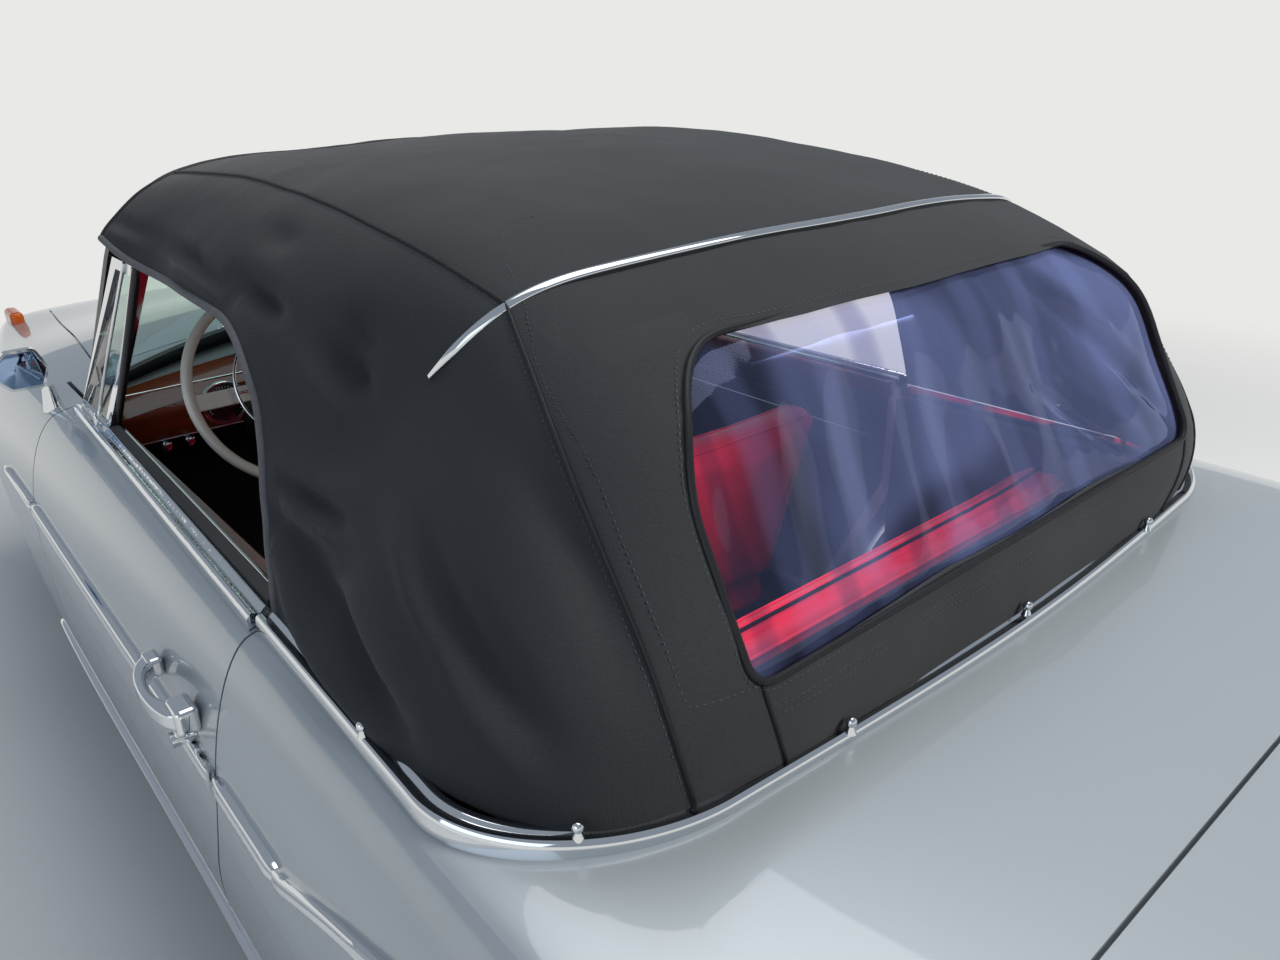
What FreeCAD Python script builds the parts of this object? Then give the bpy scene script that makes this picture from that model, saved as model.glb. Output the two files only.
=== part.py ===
import FreeCAD, Part
import Sketcher
import math
import os

V = FreeCAD.Vector
doc = FreeCAD.newDocument("convertible_car")

# Driving sizes in millimetres. X points to the front, Y to the car's left, Z up.
# The origin is on the ground under the middle of the length.
SIZES = {
    # whole car
    "overall_length": 4670,
    "body_width": 1764,
    "front_axle": 1530,
    "rear_axle": 1170,
    "front_track": 1430,
    "rear_track": 1470,
    # heights of the body's lines
    "sill_height": 225,
    "sill_depth": 32,
    "side_height": 600,
    "belt_height": 905,
    "moulding_height": 934,
    # panels
    "skin": 22,
    "shut_gap": 5,
    "seat_gap": 0.3,
    "bumper_reach": 105,
    "tail_reach": 75,
    "door_front": 825,
    "door_rear": 395,
    "door_rear_foot": 170,
    "door_bend": 705,
    "door_corner": 70,
    "hood_rear": 1005,
    "hood_rear_half": 636,
    "hood_front_half": 545,
    "hood_front_back": 65,
    "lid_front": 1412,
    "lid_front_half": 600,
    "lid_rear_half": 540,
    "lid_foot": 560,
    "lid_corner": 150,
    "hood_corner": 45,
    "gutter_reach": 14,
    "gutter_wall": 6,
    "seal_height": 30,
    # wheels
    "tyre_radius": 332,
    "tyre_width": 172,
    "rim_radius": 184,
    "rim_width": 150,
    "arch_radius": 356,
    "rear_arch_drop": 30,
    "hub_bore": 22,
    "kingpin_inset": 78,
    "bearing_gap": 0.1,
    # cabin
    "cabin_half": 714,
    "rear_edge": 1100,
    "opening_half": 772,
    "opening_flare": 48,
    "opening_corner": 235,
    # soft-top
    "cloth": 12,
    "foot_height": 920,
    "foot_inset": 18,
    "bow_width": 22,
    "bow_depth": 16,
    "pane_half": 505,
    "pane_low": 1053,
    "pane_high": 1350,
    "pane_top_corner": 105,
    "pane_foot_corner": 26,
    # windscreen
    "frame_wall": 28,
    "glass_wall": 6,
    # brightwork
    "strip_height": 706,
    "strip_width": 26,
    "strip_depth": 9,
    "moulding_proud": 12,
    "moulding_in": 12,
    "moulding_out": 22,
    "moulding_round": 7,
    "sill_strip": 24,
}

sheet = doc.addObject("Spreadsheet::Sheet", "car")
for row, (alias, number) in enumerate(SIZES.items(), start=1):
    sheet.set(f"A{row}", alias)
    sheet.set(f"B{row}", str(number))
    sheet.setAlias(f"B{row}", alias)
doc.recompute()


class Car:
    """The sheet's numbers under their own names."""


car = Car()
for alias in SIZES:
    setattr(car, alias, float(sheet.get(alias)))

half_width = car.body_width / 2
nose_end = car.overall_length / 2 - car.bumper_reach
tail_end = -car.overall_length / 2 + car.tail_reach


# Document objects: each binds its sizes and place to the sheet
def add(kind, name, cells=None):
    made = doc.addObject(kind, name)
    made.Label = name
    for prop, text in (cells or {}).items():
        made.setExpression(prop, str(text))
    return made


def place(name, x, y, z):
    return {"Placement.Base.x": x, "Placement.Base.y": y, "Placement.Base.z": z}


def block(name, x, y, z):
    """A box between two places along each axis."""
    cells = place(name, x[0], y[0], z[0])
    for prop, (low, high) in zip(("Length", "Width", "Height"), (x, y, z)):
        cells[prop] = f"({high}) - ({low})"
    return add("Part::Box", name, cells)


def rod(name, radius, length, at, axis):
    made = add("Part::Cylinder", name, {"Radius": radius, "Height": length})
    made.Placement = FreeCAD.Placement(V(0, 0, 0), FreeCAD.Rotation(V(0, 0, 1), V(*axis)))
    for prop, text in place(name, *at).items():
        made.setExpression(prop, str(text))
    return made


def common(name, base, tool):
    made = add("Part::Common", name)
    made.Base = base
    made.Tool = tool
    return made


def cut(name, base, tool):
    made = add("Part::Cut", name)
    made.Base = base
    made.Tool = tool
    return made


def fuse(name, *parts):
    made = add("Part::MultiFuse", name)
    made.Shapes = list(parts)
    return made


def group(name, *parts):
    made = add("Part::Compound", name)
    made.Links = list(parts)
    return made


def mirrored(name, source):
    made = add("Part::Mirroring", name)
    made.Source = source
    made.Normal = V(0, 1, 0)
    return made


def formed(name, shape):
    made = doc.addObject("Part::Feature", name)
    made.Label = name
    made.Shape = shape
    return made


# Curves and lofts
def bezier(poles):
    curve = Part.BezierCurve()
    curve.setPoles([V(*pole) for pole in poles])
    return curve.toShape()


def smooth_through(points):
    """Bezier edges through the points, with each inner tangent along its neighbours' chord."""
    points = [V(*point) for point in points]
    last = len(points) - 1
    tangents = []
    for i in range(last + 1):
        run = points[min(i + 1, last)] - points[max(i - 1, 0)]
        tangents.append(run.normalize())
    edges = []
    for i in range(last):
        reach = (points[i + 1] - points[i]).Length / 3
        edges.append(bezier([points[i], points[i] + tangents[i] * reach,
                             points[i + 1] - tangents[i + 1] * reach, points[i + 1]]))
    return edges


def both_sides(edges_left):
    """The left half of a section, its mirror image and the straight foot between them."""
    edges_right = [edge.mirror(V(0, 0, 0), V(0, 1, 0)) for edge in edges_left]
    low = edges_left[0].Vertexes[0].Point
    foot = Part.makeLine(V(low.x, -low.y, low.z), low)
    return Part.Wire(Part.__sortEdges__(edges_left + edges_right + [foot]))


# Body lines: place along the car, then the sill, the widest line and the shoulder as the
# distance inside the half width and the rise over their own heights, then the crown's rise
# over the belt.
BODY_LINES = [
    # x, sill in, sill up, side in, side up, shoulder in, shoulder up, crown up
    (nose_end, 322, 120, 147, -30, 242, -92, -58),
    (nose_end - 80, 282, 75, 114, -25, 220, -43, -13),
    (car.front_axle + 370, 122, 15, 67, -15, 170, -15, 25),
    (car.front_axle, 47, 0, 14, -10, 107, -10, 78),
    (car.hood_rear + 40, 32, 0, 6, 0, 97, 0, 110),
    (car.door_front - 425, 30, 0, 4, 0, 97, 0, 48),
    (-car.door_rear, 30, 0, 6, 0, 92, 0, 26),
    (-car.rear_axle + 70, 34, 0, 2, 0, 87, 0, 20),
    (-car.lid_front - 8, 42, 3, 10, 0, 97, -8, 14),
    (-car.lid_front - 388, 82, 20, 44, 0, 137, -37, -12),
    (tail_end + 110, 222, 75, 107, -15, 210, -90, -58),
    (tail_end, 282, 120, 152, -30, 272, -140, -118),
]


def body_section(line, inset, drop):
    x, sill_in, sill_up, side_in, side_up, shoulder_in, shoulder_up, crown_up = line
    sill = (half_width - sill_in - inset, car.sill_height + sill_up - drop)
    side = (half_width - side_in - inset, car.side_height + side_up)
    shoulder = (half_width - shoulder_in - 0.75 * inset, car.belt_height + shoulder_up - 0.7 * inset)
    crown = car.belt_height + crown_up - inset
    lift = 0.42 * (shoulder[1] - side[1])
    reach = 0.22 * (crown - shoulder[1]) + 45
    lean = (0.84 * reach, 0.54 * reach)
    columns = [
        [sill, (sill[0] + 0.7 * (side[0] - sill[0]), sill[1] + 0.3 * (side[1] - sill[1])),
         (side[0], side[1] - lift), side],
        [side, (side[0], side[1] + lift), (shoulder[0] + lean[0], shoulder[1] - lean[1]), shoulder],
        [shoulder, (shoulder[0] - lean[0], shoulder[1] + lean[1]), (0.4 * shoulder[0], crown), (0, crown)],
    ]
    return both_sides([bezier([(x, y, z) for y, z in column]) for column in columns])


def hull(inset=0.0, drop=0.0, end_inset=None):
    """The closed body form, all of it inset by the same wall."""
    lines = [list(line) for line in BODY_LINES]
    short = inset if end_inset is None else end_inset
    lines[0][0] -= short
    lines[-1][0] += short
    return Part.makeLoft([body_section(line, inset, drop) for line in lines], True, False)


body_form = formed("body_form", hull())
open_form = formed("open_form", hull(car.skin, 60))
seat_form = hull(-car.seat_gap, car.seat_gap)
shell = cut("shell", body_form, open_form)

# The cabin's opening in plan: sides that flare to the rear and round rear corners. Each
# stretch of the left half is a list of poles.
def opening_stretches(grow):
    front_half = car.opening_half - car.opening_flare + grow
    rear_half = car.opening_half + grow
    rear = -car.rear_edge - grow
    corner = car.opening_corner
    hook = 0.48 * corner
    side_end = V(rear + corner, rear_half, 0)
    corner_end = V(rear + 0.1 * corner, rear_half - corner, 0)
    return [
        [V(car.door_front, front_half, 0), side_end],
        [side_end, side_end - V(hook, 0, 0), corner_end + V(0.03 * corner, hook, 0), corner_end],
        [corner_end, corner_end - V(0.03 * corner, hook, 0), V(rear, 200, 0), V(rear, 0, 0)],
    ]


def opening_outline(grow):
    left = [bezier(poles) for poles in opening_stretches(grow)]
    right = [edge.mirror(V(0, 0, 0), V(0, 1, 0)) for edge in left]
    front = left[0].Vertexes[0].Point
    close = Part.makeLine(front, V(front.x, -front.y, 0))
    return Part.Wire(Part.__sortEdges__(left + right + [close]))


def opening_half_at(x, grow):
    """How far from the middle the opening's edge lies at a place along the car."""
    for poles in opening_stretches(grow):
        if poles[-1].x <= x:
            edge = bezier(poles)
            low, high = edge.FirstParameter, edge.LastParameter
            for _ in range(30):
                middle = (low + high) / 2
                if edge.valueAt(middle).x > x:
                    low = middle
                else:
                    high = middle
            return edge.valueAt(low).y
    return 0.0


def upright(wire, low, high):
    """The wire's face raised between two heights."""
    raised = Part.Face(wire).extrude(V(0, 0, high - low))
    raised.translate(V(0, 0, low))
    return raised


# Doors: the outline seen from the side, used for the door and, grown by the gap, for its hole
def door_outline(grow):
    front = car.door_front + grow
    rear = -car.door_rear - grow
    foot_rear = rear + car.door_rear_foot
    foot = car.sill_height + car.sill_depth + car.shut_gap - grow
    top = 1100.0
    bend = car.door_bend
    edges = [
        Part.makeLine(V(front, 0, foot), V(front, 0, top)),
        Part.makeLine(V(front, 0, top), V(rear, 0, top)),
        Part.makeLine(V(rear, 0, top), V(rear, 0, bend)),
        bezier([(rear, 0, bend), (rear, 0, bend - 140), (foot_rear - 10, 0, foot + 210), (foot_rear, 0, foot)]),
        Part.makeLine(V(foot_rear, 0, foot), V(front, 0, foot)),
    ]
    return Part.Wire(Part.__sortEdges__(edges))


def across(wire, low, high):
    """The wire's face stretched between two places across the car."""
    stretched = Part.Face(wire).extrude(V(0, high - low, 0))
    stretched.translate(V(0, low, 0))
    return stretched



# Regions that part the shell into panels
MIDDLE = ("-900", "900")
LEFT = ("0", "900")
FULL = ("150", "1200")
FRONT_ARCH = "(car.front_axle - car.arch_radius)"
REAR_ARCH = "(-car.rear_axle + car.arch_radius)"
NOSE_SEAM = "(car.overall_length / 2 - car.bumper_reach - 80)"
TAIL_SEAM = "(-car.overall_length / 2 + car.tail_reach + 110)"


def tapered(x0, half0, x1, half1, low, high, corner=0.0):
    """An upright block whose plan narrows to its second end and is rounded at its first."""
    corners = [V(x0, half0, low), V(x1, half1, low), V(x1, -half1, low), V(x0, -half0, low)]
    solid = Part.Face(Part.makePolygon(corners + corners[:1])).extrude(V(0, 0, high - low))
    if not corner:
        return solid
    uprights = [edge for edge in solid.Edges if abs(edge.CenterOfMass.x - x0) < 1
                and abs(edge.CenterOfMass.y) > min(half0, half1) - 1]
    return solid.makeFillet(corner, uprights)


hood_front = nose_end - car.hood_front_back
lid_end = tail_end - 20
gap = car.shut_gap
PANEL_LOW, PANEL_HIGH = 600, 1200


def hood_block(grow):
    return tapered(car.hood_rear - grow, car.hood_rear_half + grow, hood_front + grow, car.hood_front_half + grow,
                   PANEL_LOW, PANEL_HIGH, car.hood_corner + grow)


def lid_block(grow):
    return tapered(-car.lid_front + grow, car.lid_front_half + grow, lid_end - grow, car.lid_rear_half + grow,
                   car.lid_foot - grow, PANEL_HIGH, car.lid_corner + grow)


hood_plan = formed("hood_plan", hood_block(0))
hood_hole = formed("hood_hole", hood_block(gap))
lid_plan = formed("lid_plan", lid_block(0))
lid_hole = formed("lid_hole", lid_block(gap))
opening = formed("opening", upright(opening_outline(0), 700, 1300))

# The door's front top corner is rounded in plan, and the wing fills the corner it leaves
CORNER_LOW, CORNER_HIGH = 780, 1200


def corner_block(grow):
    """What lies outside the rounded corner, with the curve's radius grown by the gap."""
    size = car.door_corner
    square = Part.makeBox(size + gap + 1, size, CORNER_HIGH - CORNER_LOW,
                          V(car.door_front - size, car.cabin_half, CORNER_LOW))
    return square.cut(Part.makeCylinder(size + grow, CORNER_HIGH - CORNER_LOW,
                                        V(car.door_front - size, car.cabin_half + size, CORNER_LOW)))


door_form = formed("door_form", across(door_outline(0), car.cabin_half, half_width + 40).cut(corner_block(0)))
door_hole = formed("door_hole", across(door_outline(gap), 0, half_width + 40))
corner_fill = formed("corner_fill", corner_block(gap))

front_arch = rod("front_arch", "car.arch_radius", "500", ("car.front_axle", "450", "car.tyre_radius"), (0, 1, 0))
rear_arch = rod("rear_arch", "car.arch_radius", "500",
                ("-car.rear_axle", "450", "car.tyre_radius - car.rear_arch_drop"), (0, 1, 0))
sill_zone = block("sill_zone", (REAR_ARCH, FRONT_ARCH), MIDDLE, ("100", "car.sill_height + car.sill_depth"))
cowl_zone = block("cowl_zone", ("500", "car.hood_rear - car.shut_gap"), ("-car.cabin_half", "car.cabin_half"), FULL)
deck_zone = block("deck_zone", ("-car.lid_front + car.shut_gap", "-800"), ("-620", "620"), ("700", "1200"))

# Outer panels
hood = common("hood", shell, hood_plan)
trunk_lid = common("trunk_lid", shell, lid_plan)
door_left = common("door_left", body_form, door_form)

# Gutters: a riser beside each lid's hole carries a ledge that lies under the lid's edge
ledge_out = hull(car.skin + car.seat_gap)
ledge_in = hull(car.skin + car.seat_gap + car.gutter_wall)
ledge_form = ledge_out.cut(ledge_in)
riser_form = hull(car.skin / 2).cut(ledge_in)


def gutter(name, plan_block, zone):
    """The ledge and riser round one hole, within an upright zone."""
    ledge = ledge_form.common(zone).common(plan_block(gap)).cut(plan_block(-car.gutter_reach))
    riser = riser_form.common(zone).common(plan_block(gap + car.gutter_wall)).cut(plan_block(gap))
    return formed(name, ledge.fuse(riser))


nose_seam, tail_seam = nose_end - 80, tail_end + 110
side_reach = 700
hood_side = Part.makeBox(nose_seam - car.hood_rear - car.hood_corner, side_reach, PANEL_HIGH,
                         V(car.hood_rear + car.hood_corner, 0, 0))
lid_side = Part.makeBox(-tail_seam - car.lid_front - car.lid_corner, side_reach, PANEL_HIGH, V(tail_seam, 0, 0))
hood_middle = car.hood_rear_half - car.hood_corner - car.gutter_reach
hood_back = Part.makeBox(60, 2 * hood_middle, PANEL_HIGH, V(car.hood_rear - 30, -hood_middle, 0))
lid_middle = car.lid_front_half - car.lid_corner - 2 * car.gutter_reach
lid_back = Part.makeBox(60, 2 * lid_middle, PANEL_HIGH, V(-car.lid_front - 30, -lid_middle, 0))
hood_gutter_left = gutter("hood_gutter_left", hood_block, hood_side)
hood_gutter_back = gutter("hood_gutter_back", hood_block, hood_back)
lid_gutter_left = gutter("lid_gutter_left", lid_block, lid_side)
lid_gutter_back = gutter("lid_gutter_back", lid_block, lid_back)

wing_zone = fuse("wing_zone", block("wing_main_zone", ("car.door_front + car.shut_gap", NOSE_SEAM), LEFT, FULL),
                 corner_fill)
wing_cuts = fuse("wing_cuts", hood_hole, front_arch, sill_zone, cowl_zone)
wing_skin = cut("wing_skin", common("wing_blank", shell, wing_zone), wing_cuts)
wing_left = fuse("wing_left", wing_skin, hood_gutter_left)

quarter_zone = block("quarter_zone", (TAIL_SEAM, "0"), LEFT, FULL)
quarter_cuts = fuse("quarter_cuts", lid_hole, rear_arch, sill_zone, door_hole, opening, deck_zone)
quarter_skin = cut("quarter_skin", common("quarter_blank", shell, quarter_zone), quarter_cuts)
quarter_left = fuse("quarter_left", quarter_skin, lid_gutter_left)

deck_skin = cut("deck_skin", common("deck_blank", shell, deck_zone), opening)
deck_panel = fuse("deck_panel", deck_skin, lid_gutter_back)

nose_zone = block("nose_zone", (NOSE_SEAM, "3000"), MIDDLE, FULL)
grille_hole = block("grille_hole", ("1900", "3000"), ("-400", "400"), ("575", "790"))
lamp_hole_left = rod("lamp_hole_left", "80", "400", ("2000", "600", "690"), (1, 0, 0))
lamp_hole_right = rod("lamp_hole_right", "80", "400", ("2000", "-600", "690"), (1, 0, 0))
nose_cuts = fuse("nose_cuts", hood_hole, grille_hole, lamp_hole_left, lamp_hole_right)
nose_panel = cut("nose_panel", common("nose_blank", shell, nose_zone), nose_cuts)

tail_zone = block("tail_zone", ("-3000", TAIL_SEAM), MIDDLE, FULL)
tail_panel = cut("tail_panel", common("tail_blank", shell, tail_zone), lid_hole)

for side_panel in ("door", "wing", "quarter"):
    mirrored(side_panel + "_right", doc.getObject(side_panel + "_left"))



# Floor, tunnel, rails and cowl
RAIL_TOP = "420"
slab_blank = common("slab_blank", body_form, block("slab_zone", (REAR_ARCH, FRONT_ARCH), MIDDLE,
                    ("100", "car.sill_height + car.sill_depth")))
tunnel_void = block("tunnel_void", ("-1500", "1500"), ("-66", "66"), ("0", "380"))
tunnel_shell = block("tunnel_shell", (REAR_ARCH, "950"), ("-78", "78"), ("car.sill_height + 10", "392"))
step = block("step", (REAR_ARCH, f"{REAR_ARCH} + 18"), ("-590", "590"), ("car.sill_height + 10", "445"))
trunk_floor = block("trunk_floor", ("-2180", REAR_ARCH), ("-590", "590"), ("430", "445"))
bulkhead = block("bulkhead", ("-1078", "-1060"), ("-590", "590"), ("440", "860"))
rails = []
for side, sign in (("left", 1), ("right", -1)):
    near, far = ("350", "410") if sign > 0 else ("-410", "-350")
    rails.append(block(f"front_rail_{side}", ("1000", NOSE_SEAM), (near, far), ("330", RAIL_TOP)))
    rails.append(block(f"rail_foot_{side}", ("1000", FRONT_ARCH), (near, far), ("car.sill_height + 5", "340")))
    near, far = ("430", "490") if sign > 0 else ("-490", "-430")
    rails.append(block(f"rear_rail_{side}", ("-2180", REAR_ARCH), (near, far), ("385", "435")))
jack_pads = []
for end, near in (("front", "860"), ("rear", "-740")):
    for side, pair in (("left", ("770", "830")), ("right", ("-830", "-770"))):
        jack_pads.append(block(f"jack_pad_{end}_{side}", (near, f"{near} + 80"), pair,
                               ("car.sill_height - 13", "car.sill_height + 15")))
FLOOR = "(car.sill_height + car.sill_depth)"
seals = []
for side, pair in (("left", ("car.cabin_half - car.gutter_reach", "car.cabin_half - car.seat_gap")),
                   ("right", ("car.seat_gap - car.cabin_half", "car.gutter_reach - car.cabin_half"))):
    seals.append(block(f"door_seal_{side}", ("20 - car.door_rear", "car.door_front - 30"), pair,
                       (f"{FLOOR} - 10", f"{FLOOR} + car.seal_height")))
floor_solid = fuse("floor_solid", slab_blank, tunnel_shell, step, trunk_floor, bulkhead, *rails, *jack_pads, *seals)
floor_pan = cut("floor_pan", floor_solid, tunnel_void)
inner_form = formed("inner_form", hull(car.skin + car.seat_gap, 60))
firewall = common("firewall", inner_form, block("firewall_zone", ("960", "984"), ("-705", "705"), (FLOOR, "1200")))
cowl_top = common("cowl_top", shell, block("cowl_top_zone", ("800", "car.hood_rear - car.shut_gap"),
                  ("-car.cabin_half + 9", "car.cabin_half - 9"), FULL))
cowl_sides = []
for side, near, far in (("left", "683", "705"), ("right", "-705", "-683")):
    zone = block(f"cowl_side_zone_{side}", ("800", "984"), (near, far), (FLOOR, "1200"))
    cowl_sides.append(common(f"cowl_side_{side}", body_form, zone))
cowl = fuse("cowl", cowl_top, common("firewall_full", body_form, firewall), hood_gutter_back, *cowl_sides)

# Wheel houses
houses = []
for axle, at, drop, inner in (("front", "car.front_axle", "0", "470"), ("rear", "-car.rear_axle", "30", "600")):
    outer = rod(f"{axle}_house_outer", "car.arch_radius + 46", f"860 - {inner}", (at, inner, f"car.tyre_radius - {drop}"), (0, 1, 0))
    well = rod(f"{axle}_house_well", "car.arch_radius + 34", f"860 - {inner}", (at, f"{inner} + 10", f"car.tyre_radius - {drop}"), (0, 1, 0))
    top = block(f"{axle}_house_top", (f"{at} - 500", f"{at} + 500"), ("0", "900"), ("car.tyre_radius + 130", "1000"))
    wall = cut(f"{axle}_house_wall", outer, well)
    houses.append(common(f"{axle}_house_left", common(f"{axle}_house_high", wall, top), inner_form))
    houses.append(mirrored(f"{axle}_house_right", houses[-1]))
wheel_houses = group("wheel_houses", *houses)

# Cabin
DASH_HALF, DASH_BACK, DASH_FOOT, DASH_TOP = 700, 797, 800, 1200
dash_curve = smooth_through([(648, -DASH_HALF, 992), (616, -DASH_HALF, 958), (608, -DASH_HALF, 905),
                             (634, -DASH_HALF, 848), (690, -DASH_HALF, DASH_FOOT)])
dash_lines = [Part.makeLine(V(690, -DASH_HALF, DASH_FOOT), V(DASH_BACK, -DASH_HALF, DASH_FOOT)),
              Part.makeLine(V(DASH_BACK, -DASH_HALF, DASH_FOOT), V(DASH_BACK, -DASH_HALF, DASH_TOP)),
              Part.makeLine(V(DASH_BACK, -DASH_HALF, DASH_TOP), V(648, -DASH_HALF, DASH_TOP)),
              Part.makeLine(V(648, -DASH_HALF, DASH_TOP), V(648, -DASH_HALF, 992))]
dash_face = Part.Face(Part.Wire(Part.__sortEdges__(dash_curve + dash_lines)))
dash_block = formed("dash_block", dash_face.extrude(V(0, 2 * DASH_HALF, 0)))
column_axis = V(math.cos(math.radians(27)), 0, -math.sin(math.radians(27)))
wheel_middle = V(350, 400, 1010)
column_start = wheel_middle + column_axis * 32
column_solid = Part.makeCylinder(32, 640, column_start, column_axis)
column_zone = Part.makeBox(959.7, 800, 1200, V(0, 0, 0))
steering_column = formed("steering_column", column_solid.common(column_zone))
column_path = formed("column_path", Part.makeCylinder(32.5, 640, column_start, column_axis))
dashboard = cut("dashboard", common("dash_blank", body_form, dash_block), column_path)

ring = Part.makeTorus(206, 11, wheel_middle, column_axis)
hub = Part.makeCylinder(34, 52, wheel_middle - column_axis * 20.3, column_axis)
SPOKE_THICK, SPOKE_WIDE, SPOKE_SPAN = 12, 34, 402
spokes = Part.makeBox(SPOKE_THICK, SPOKE_SPAN, SPOKE_WIDE, V(-SPOKE_THICK / 2, -SPOKE_SPAN / 2, -SPOKE_WIDE / 2))
spokes = spokes.makeFillet(4, [edge for edge in spokes.Edges if abs(edge.tangentAt(edge.FirstParameter).y) > 0.9])
spokes.Placement = FreeCAD.Placement(wheel_middle, FreeCAD.Rotation(V(0, 1, 0), 27))
steering_wheel = formed("steering_wheel", ring.fuse([hub, spokes]).removeSplitter())


def cushion(corners_low, corners_high, half, middle, rounding):
    """A padded block: an outline seen from the side stretched across, its edges rounded."""
    outline = corners_low + corners_high
    face = Part.Face(Part.makePolygon([V(x, middle - half, z) for x, z in outline + outline[:1]]))
    solid = face.extrude(V(0, 2 * half, 0))
    return solid.makeFillet(rounding, solid.Edges)


for side, sign in (("left", 1), ("right", -1)):
    squab = cushion([(-190, 285), (285, 300)], [(300, 440), (-150, 420)], 250, sign * 338, 38)
    back = cushion([(-175, 380), (-60, 400)], [(-205, 915), (-310, 905)], 248, sign * 338, 38)
    pedestal = Part.makeBox(380, 400, 40, V(-150, sign * 338 - 200, car.sill_height + car.sill_depth))
    formed(f"seat_{side}", squab.fuse([back, pedestal]).removeSplitter())
bench = cushion([(-793, 290), (-380, 300)], [(-370, 450), (-793, 480)], 580, 0, 38)
bench_back = cushion([(-890, 446), (-735, 446)], [(-795, 940), (-905, 932)], 580, 0, 38)
bench_foot = Part.makeBox(300, 1000, 50, V(-730, -500, car.sill_height + car.sill_depth))
tunnel_clear = Part.makeBox(1400, 162, 260, V(-1000, -81, 140))
rear_bench = formed("rear_bench", bench.fuse([bench_back, bench_foot]).cut(tunnel_clear).removeSplitter())

# Parcel shelf behind the rear seat, on the bulkhead's upper edge
SHELF_BACK, SHELF_FRONT, SHELF_HALF = "-1078", "-920", "560"
parcel_shelf = block("parcel_shelf", (SHELF_BACK, SHELF_FRONT), (f"-{SHELF_HALF}", SHELF_HALF),
                     ("860 + car.seat_gap", "872"))

# Side trim beside the rear seat
trim_block = fuse("trim_block", block("trim_zone_left", ("-1000", "-car.door_rear - 10"), ("690", "713"), (FLOOR, "900")),
                  block("trim_zone_right", ("-1000", "-car.door_rear - 10"), ("-713", "-690"), (FLOOR, "900")))
well_clear = rod("well_clear", "car.arch_radius + 47", "1800",
                 ("-car.rear_axle", "-900", "car.tyre_radius - car.rear_arch_drop"), (0, 1, 0))
cabin_trim = cut("cabin_trim", trim_block, well_clear)

# Windscreen: a slab curved in plan and raked, cut to an arched outline
RAKE = 0.807
PILLAR_FOOT = (829, 930)
PILLAR_HALF = 715
SCREEN_RADIUS = 1590
SCREEN_REACH = 760


def sagitta(half):
    return SCREEN_RADIUS - math.sqrt(SCREEN_RADIUS ** 2 - half ** 2)


def screen_line(height, thick, back):
    """The slab's section at one height: two arcs and the ends between them."""
    x_middle = PILLAR_FOOT[0] - RAKE * (height - PILLAR_FOOT[1]) - back + sagitta(PILLAR_HALF)
    x_end = x_middle - sagitta(SCREEN_REACH)
    arcs = []
    for x in (0, -thick):
        arcs.append(Part.Arc(V(x_end + x, SCREEN_REACH, height), V(x_middle + x, 0, height),
                             V(x_end + x, -SCREEN_REACH, height)).toShape())
    ends = [Part.makeLine(V(x_end, y, height), V(x_end - thick, y, height)) for y in (SCREEN_REACH, -SCREEN_REACH)]
    return Part.Wire(Part.__sortEdges__(arcs + ends))


def screen_slab(thick, back=0.0):
    return Part.makeLoft([screen_line(800, thick, back), screen_line(1560, thick, back)], True, True)


def screen_zone(inset, low, low_middle):
    lean = 0.16
    shoulder = (652 - inset, 1280)
    foot = (shoulder[0] + lean * (shoulder[1] - low), low)
    left = [
        Part.makeLine(V(0, *foot), V(0, *shoulder)),
        bezier([(0, *shoulder), (0, shoulder[0] - 18, 1372 - inset), (0, 590 - inset, 1418 - inset),
                (0, 480 - inset, 1432 - inset)]),
        bezier([(0, 480 - inset, 1432 - inset), (0, 330 - inset, 1452 - inset), (0, 160, 1456 - inset), (0, 0, 1456 - inset)]),
    ]
    right = [edge.mirror(V(0, 0, 0), V(0, 1, 0)) for edge in left]
    base = Part.Arc(V(0, *foot), V(0, 0, low_middle), V(0, -foot[0], low)).toShape()
    return Part.Face(Part.Wire(Part.__sortEdges__(left + right + [base]))).extrude(V(1500, 0, 0))


frame_border = 34
pane_zone = screen_zone(frame_border, 966, 1048)
frame_solid = screen_slab(car.frame_wall).common(screen_zone(0, 800, 790))
frame_solid = frame_solid.cut(pane_zone).cut(seat_form)
windscreen_frame = formed("windscreen_frame", frame_solid)
pane_clear = screen_zone(frame_border + car.seat_gap, 966 + car.seat_gap, 1048 + car.seat_gap)
windscreen_glass = formed("windscreen_glass", screen_slab(car.glass_wall, 11).common(pane_clear))

# Soft-top: sections across the car, each from the foot to the side edge, the seam and the crown
TOP_LINES = [
    # x, edge half, edge height, seam half, seam height, crown height
    (640, 676, 1316, 520, 1424, 1446),
    (400, 673, 1315, 520, 1443, 1475),
    (160, 667, 1306, 520, 1456, 1492),
    (-80, 665, 1300, 520, 1456, 1498),
    (-320, 666, 1292, 520, 1438, 1486),
    (-560, 662, 1285, 522, 1406, 1455),
    (-765, 642, 1262, 523, 1368, 1412),
    (-900, 628, 1185, 512, 1325, 1345),
    (-990, 600, 1090, 505, 1216, 1222),
    (-1070, 497, 1005, 488, 1063, 1066),
]


def top_section(line, inset, drop):
    x, edge_half, edge_height, seam_half, seam_height, crown = line
    foot_half = opening_half_at(x, -car.foot_inset - inset)
    points = [(x, foot_half, car.foot_height - drop), (x, edge_half - inset, edge_height - 0.4 * inset),
              (x, seam_half - 0.5 * inset, seam_height - inset), (x, 0, crown - inset)]
    return both_sides(smooth_through(points))


def top_form(inset=0.0, drop=0.0):
    lines = [list(line) for line in TOP_LINES]
    lines[-1][0] += inset
    return Part.makeLoft([top_section(line, inset, drop) for line in lines], True, False)


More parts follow.
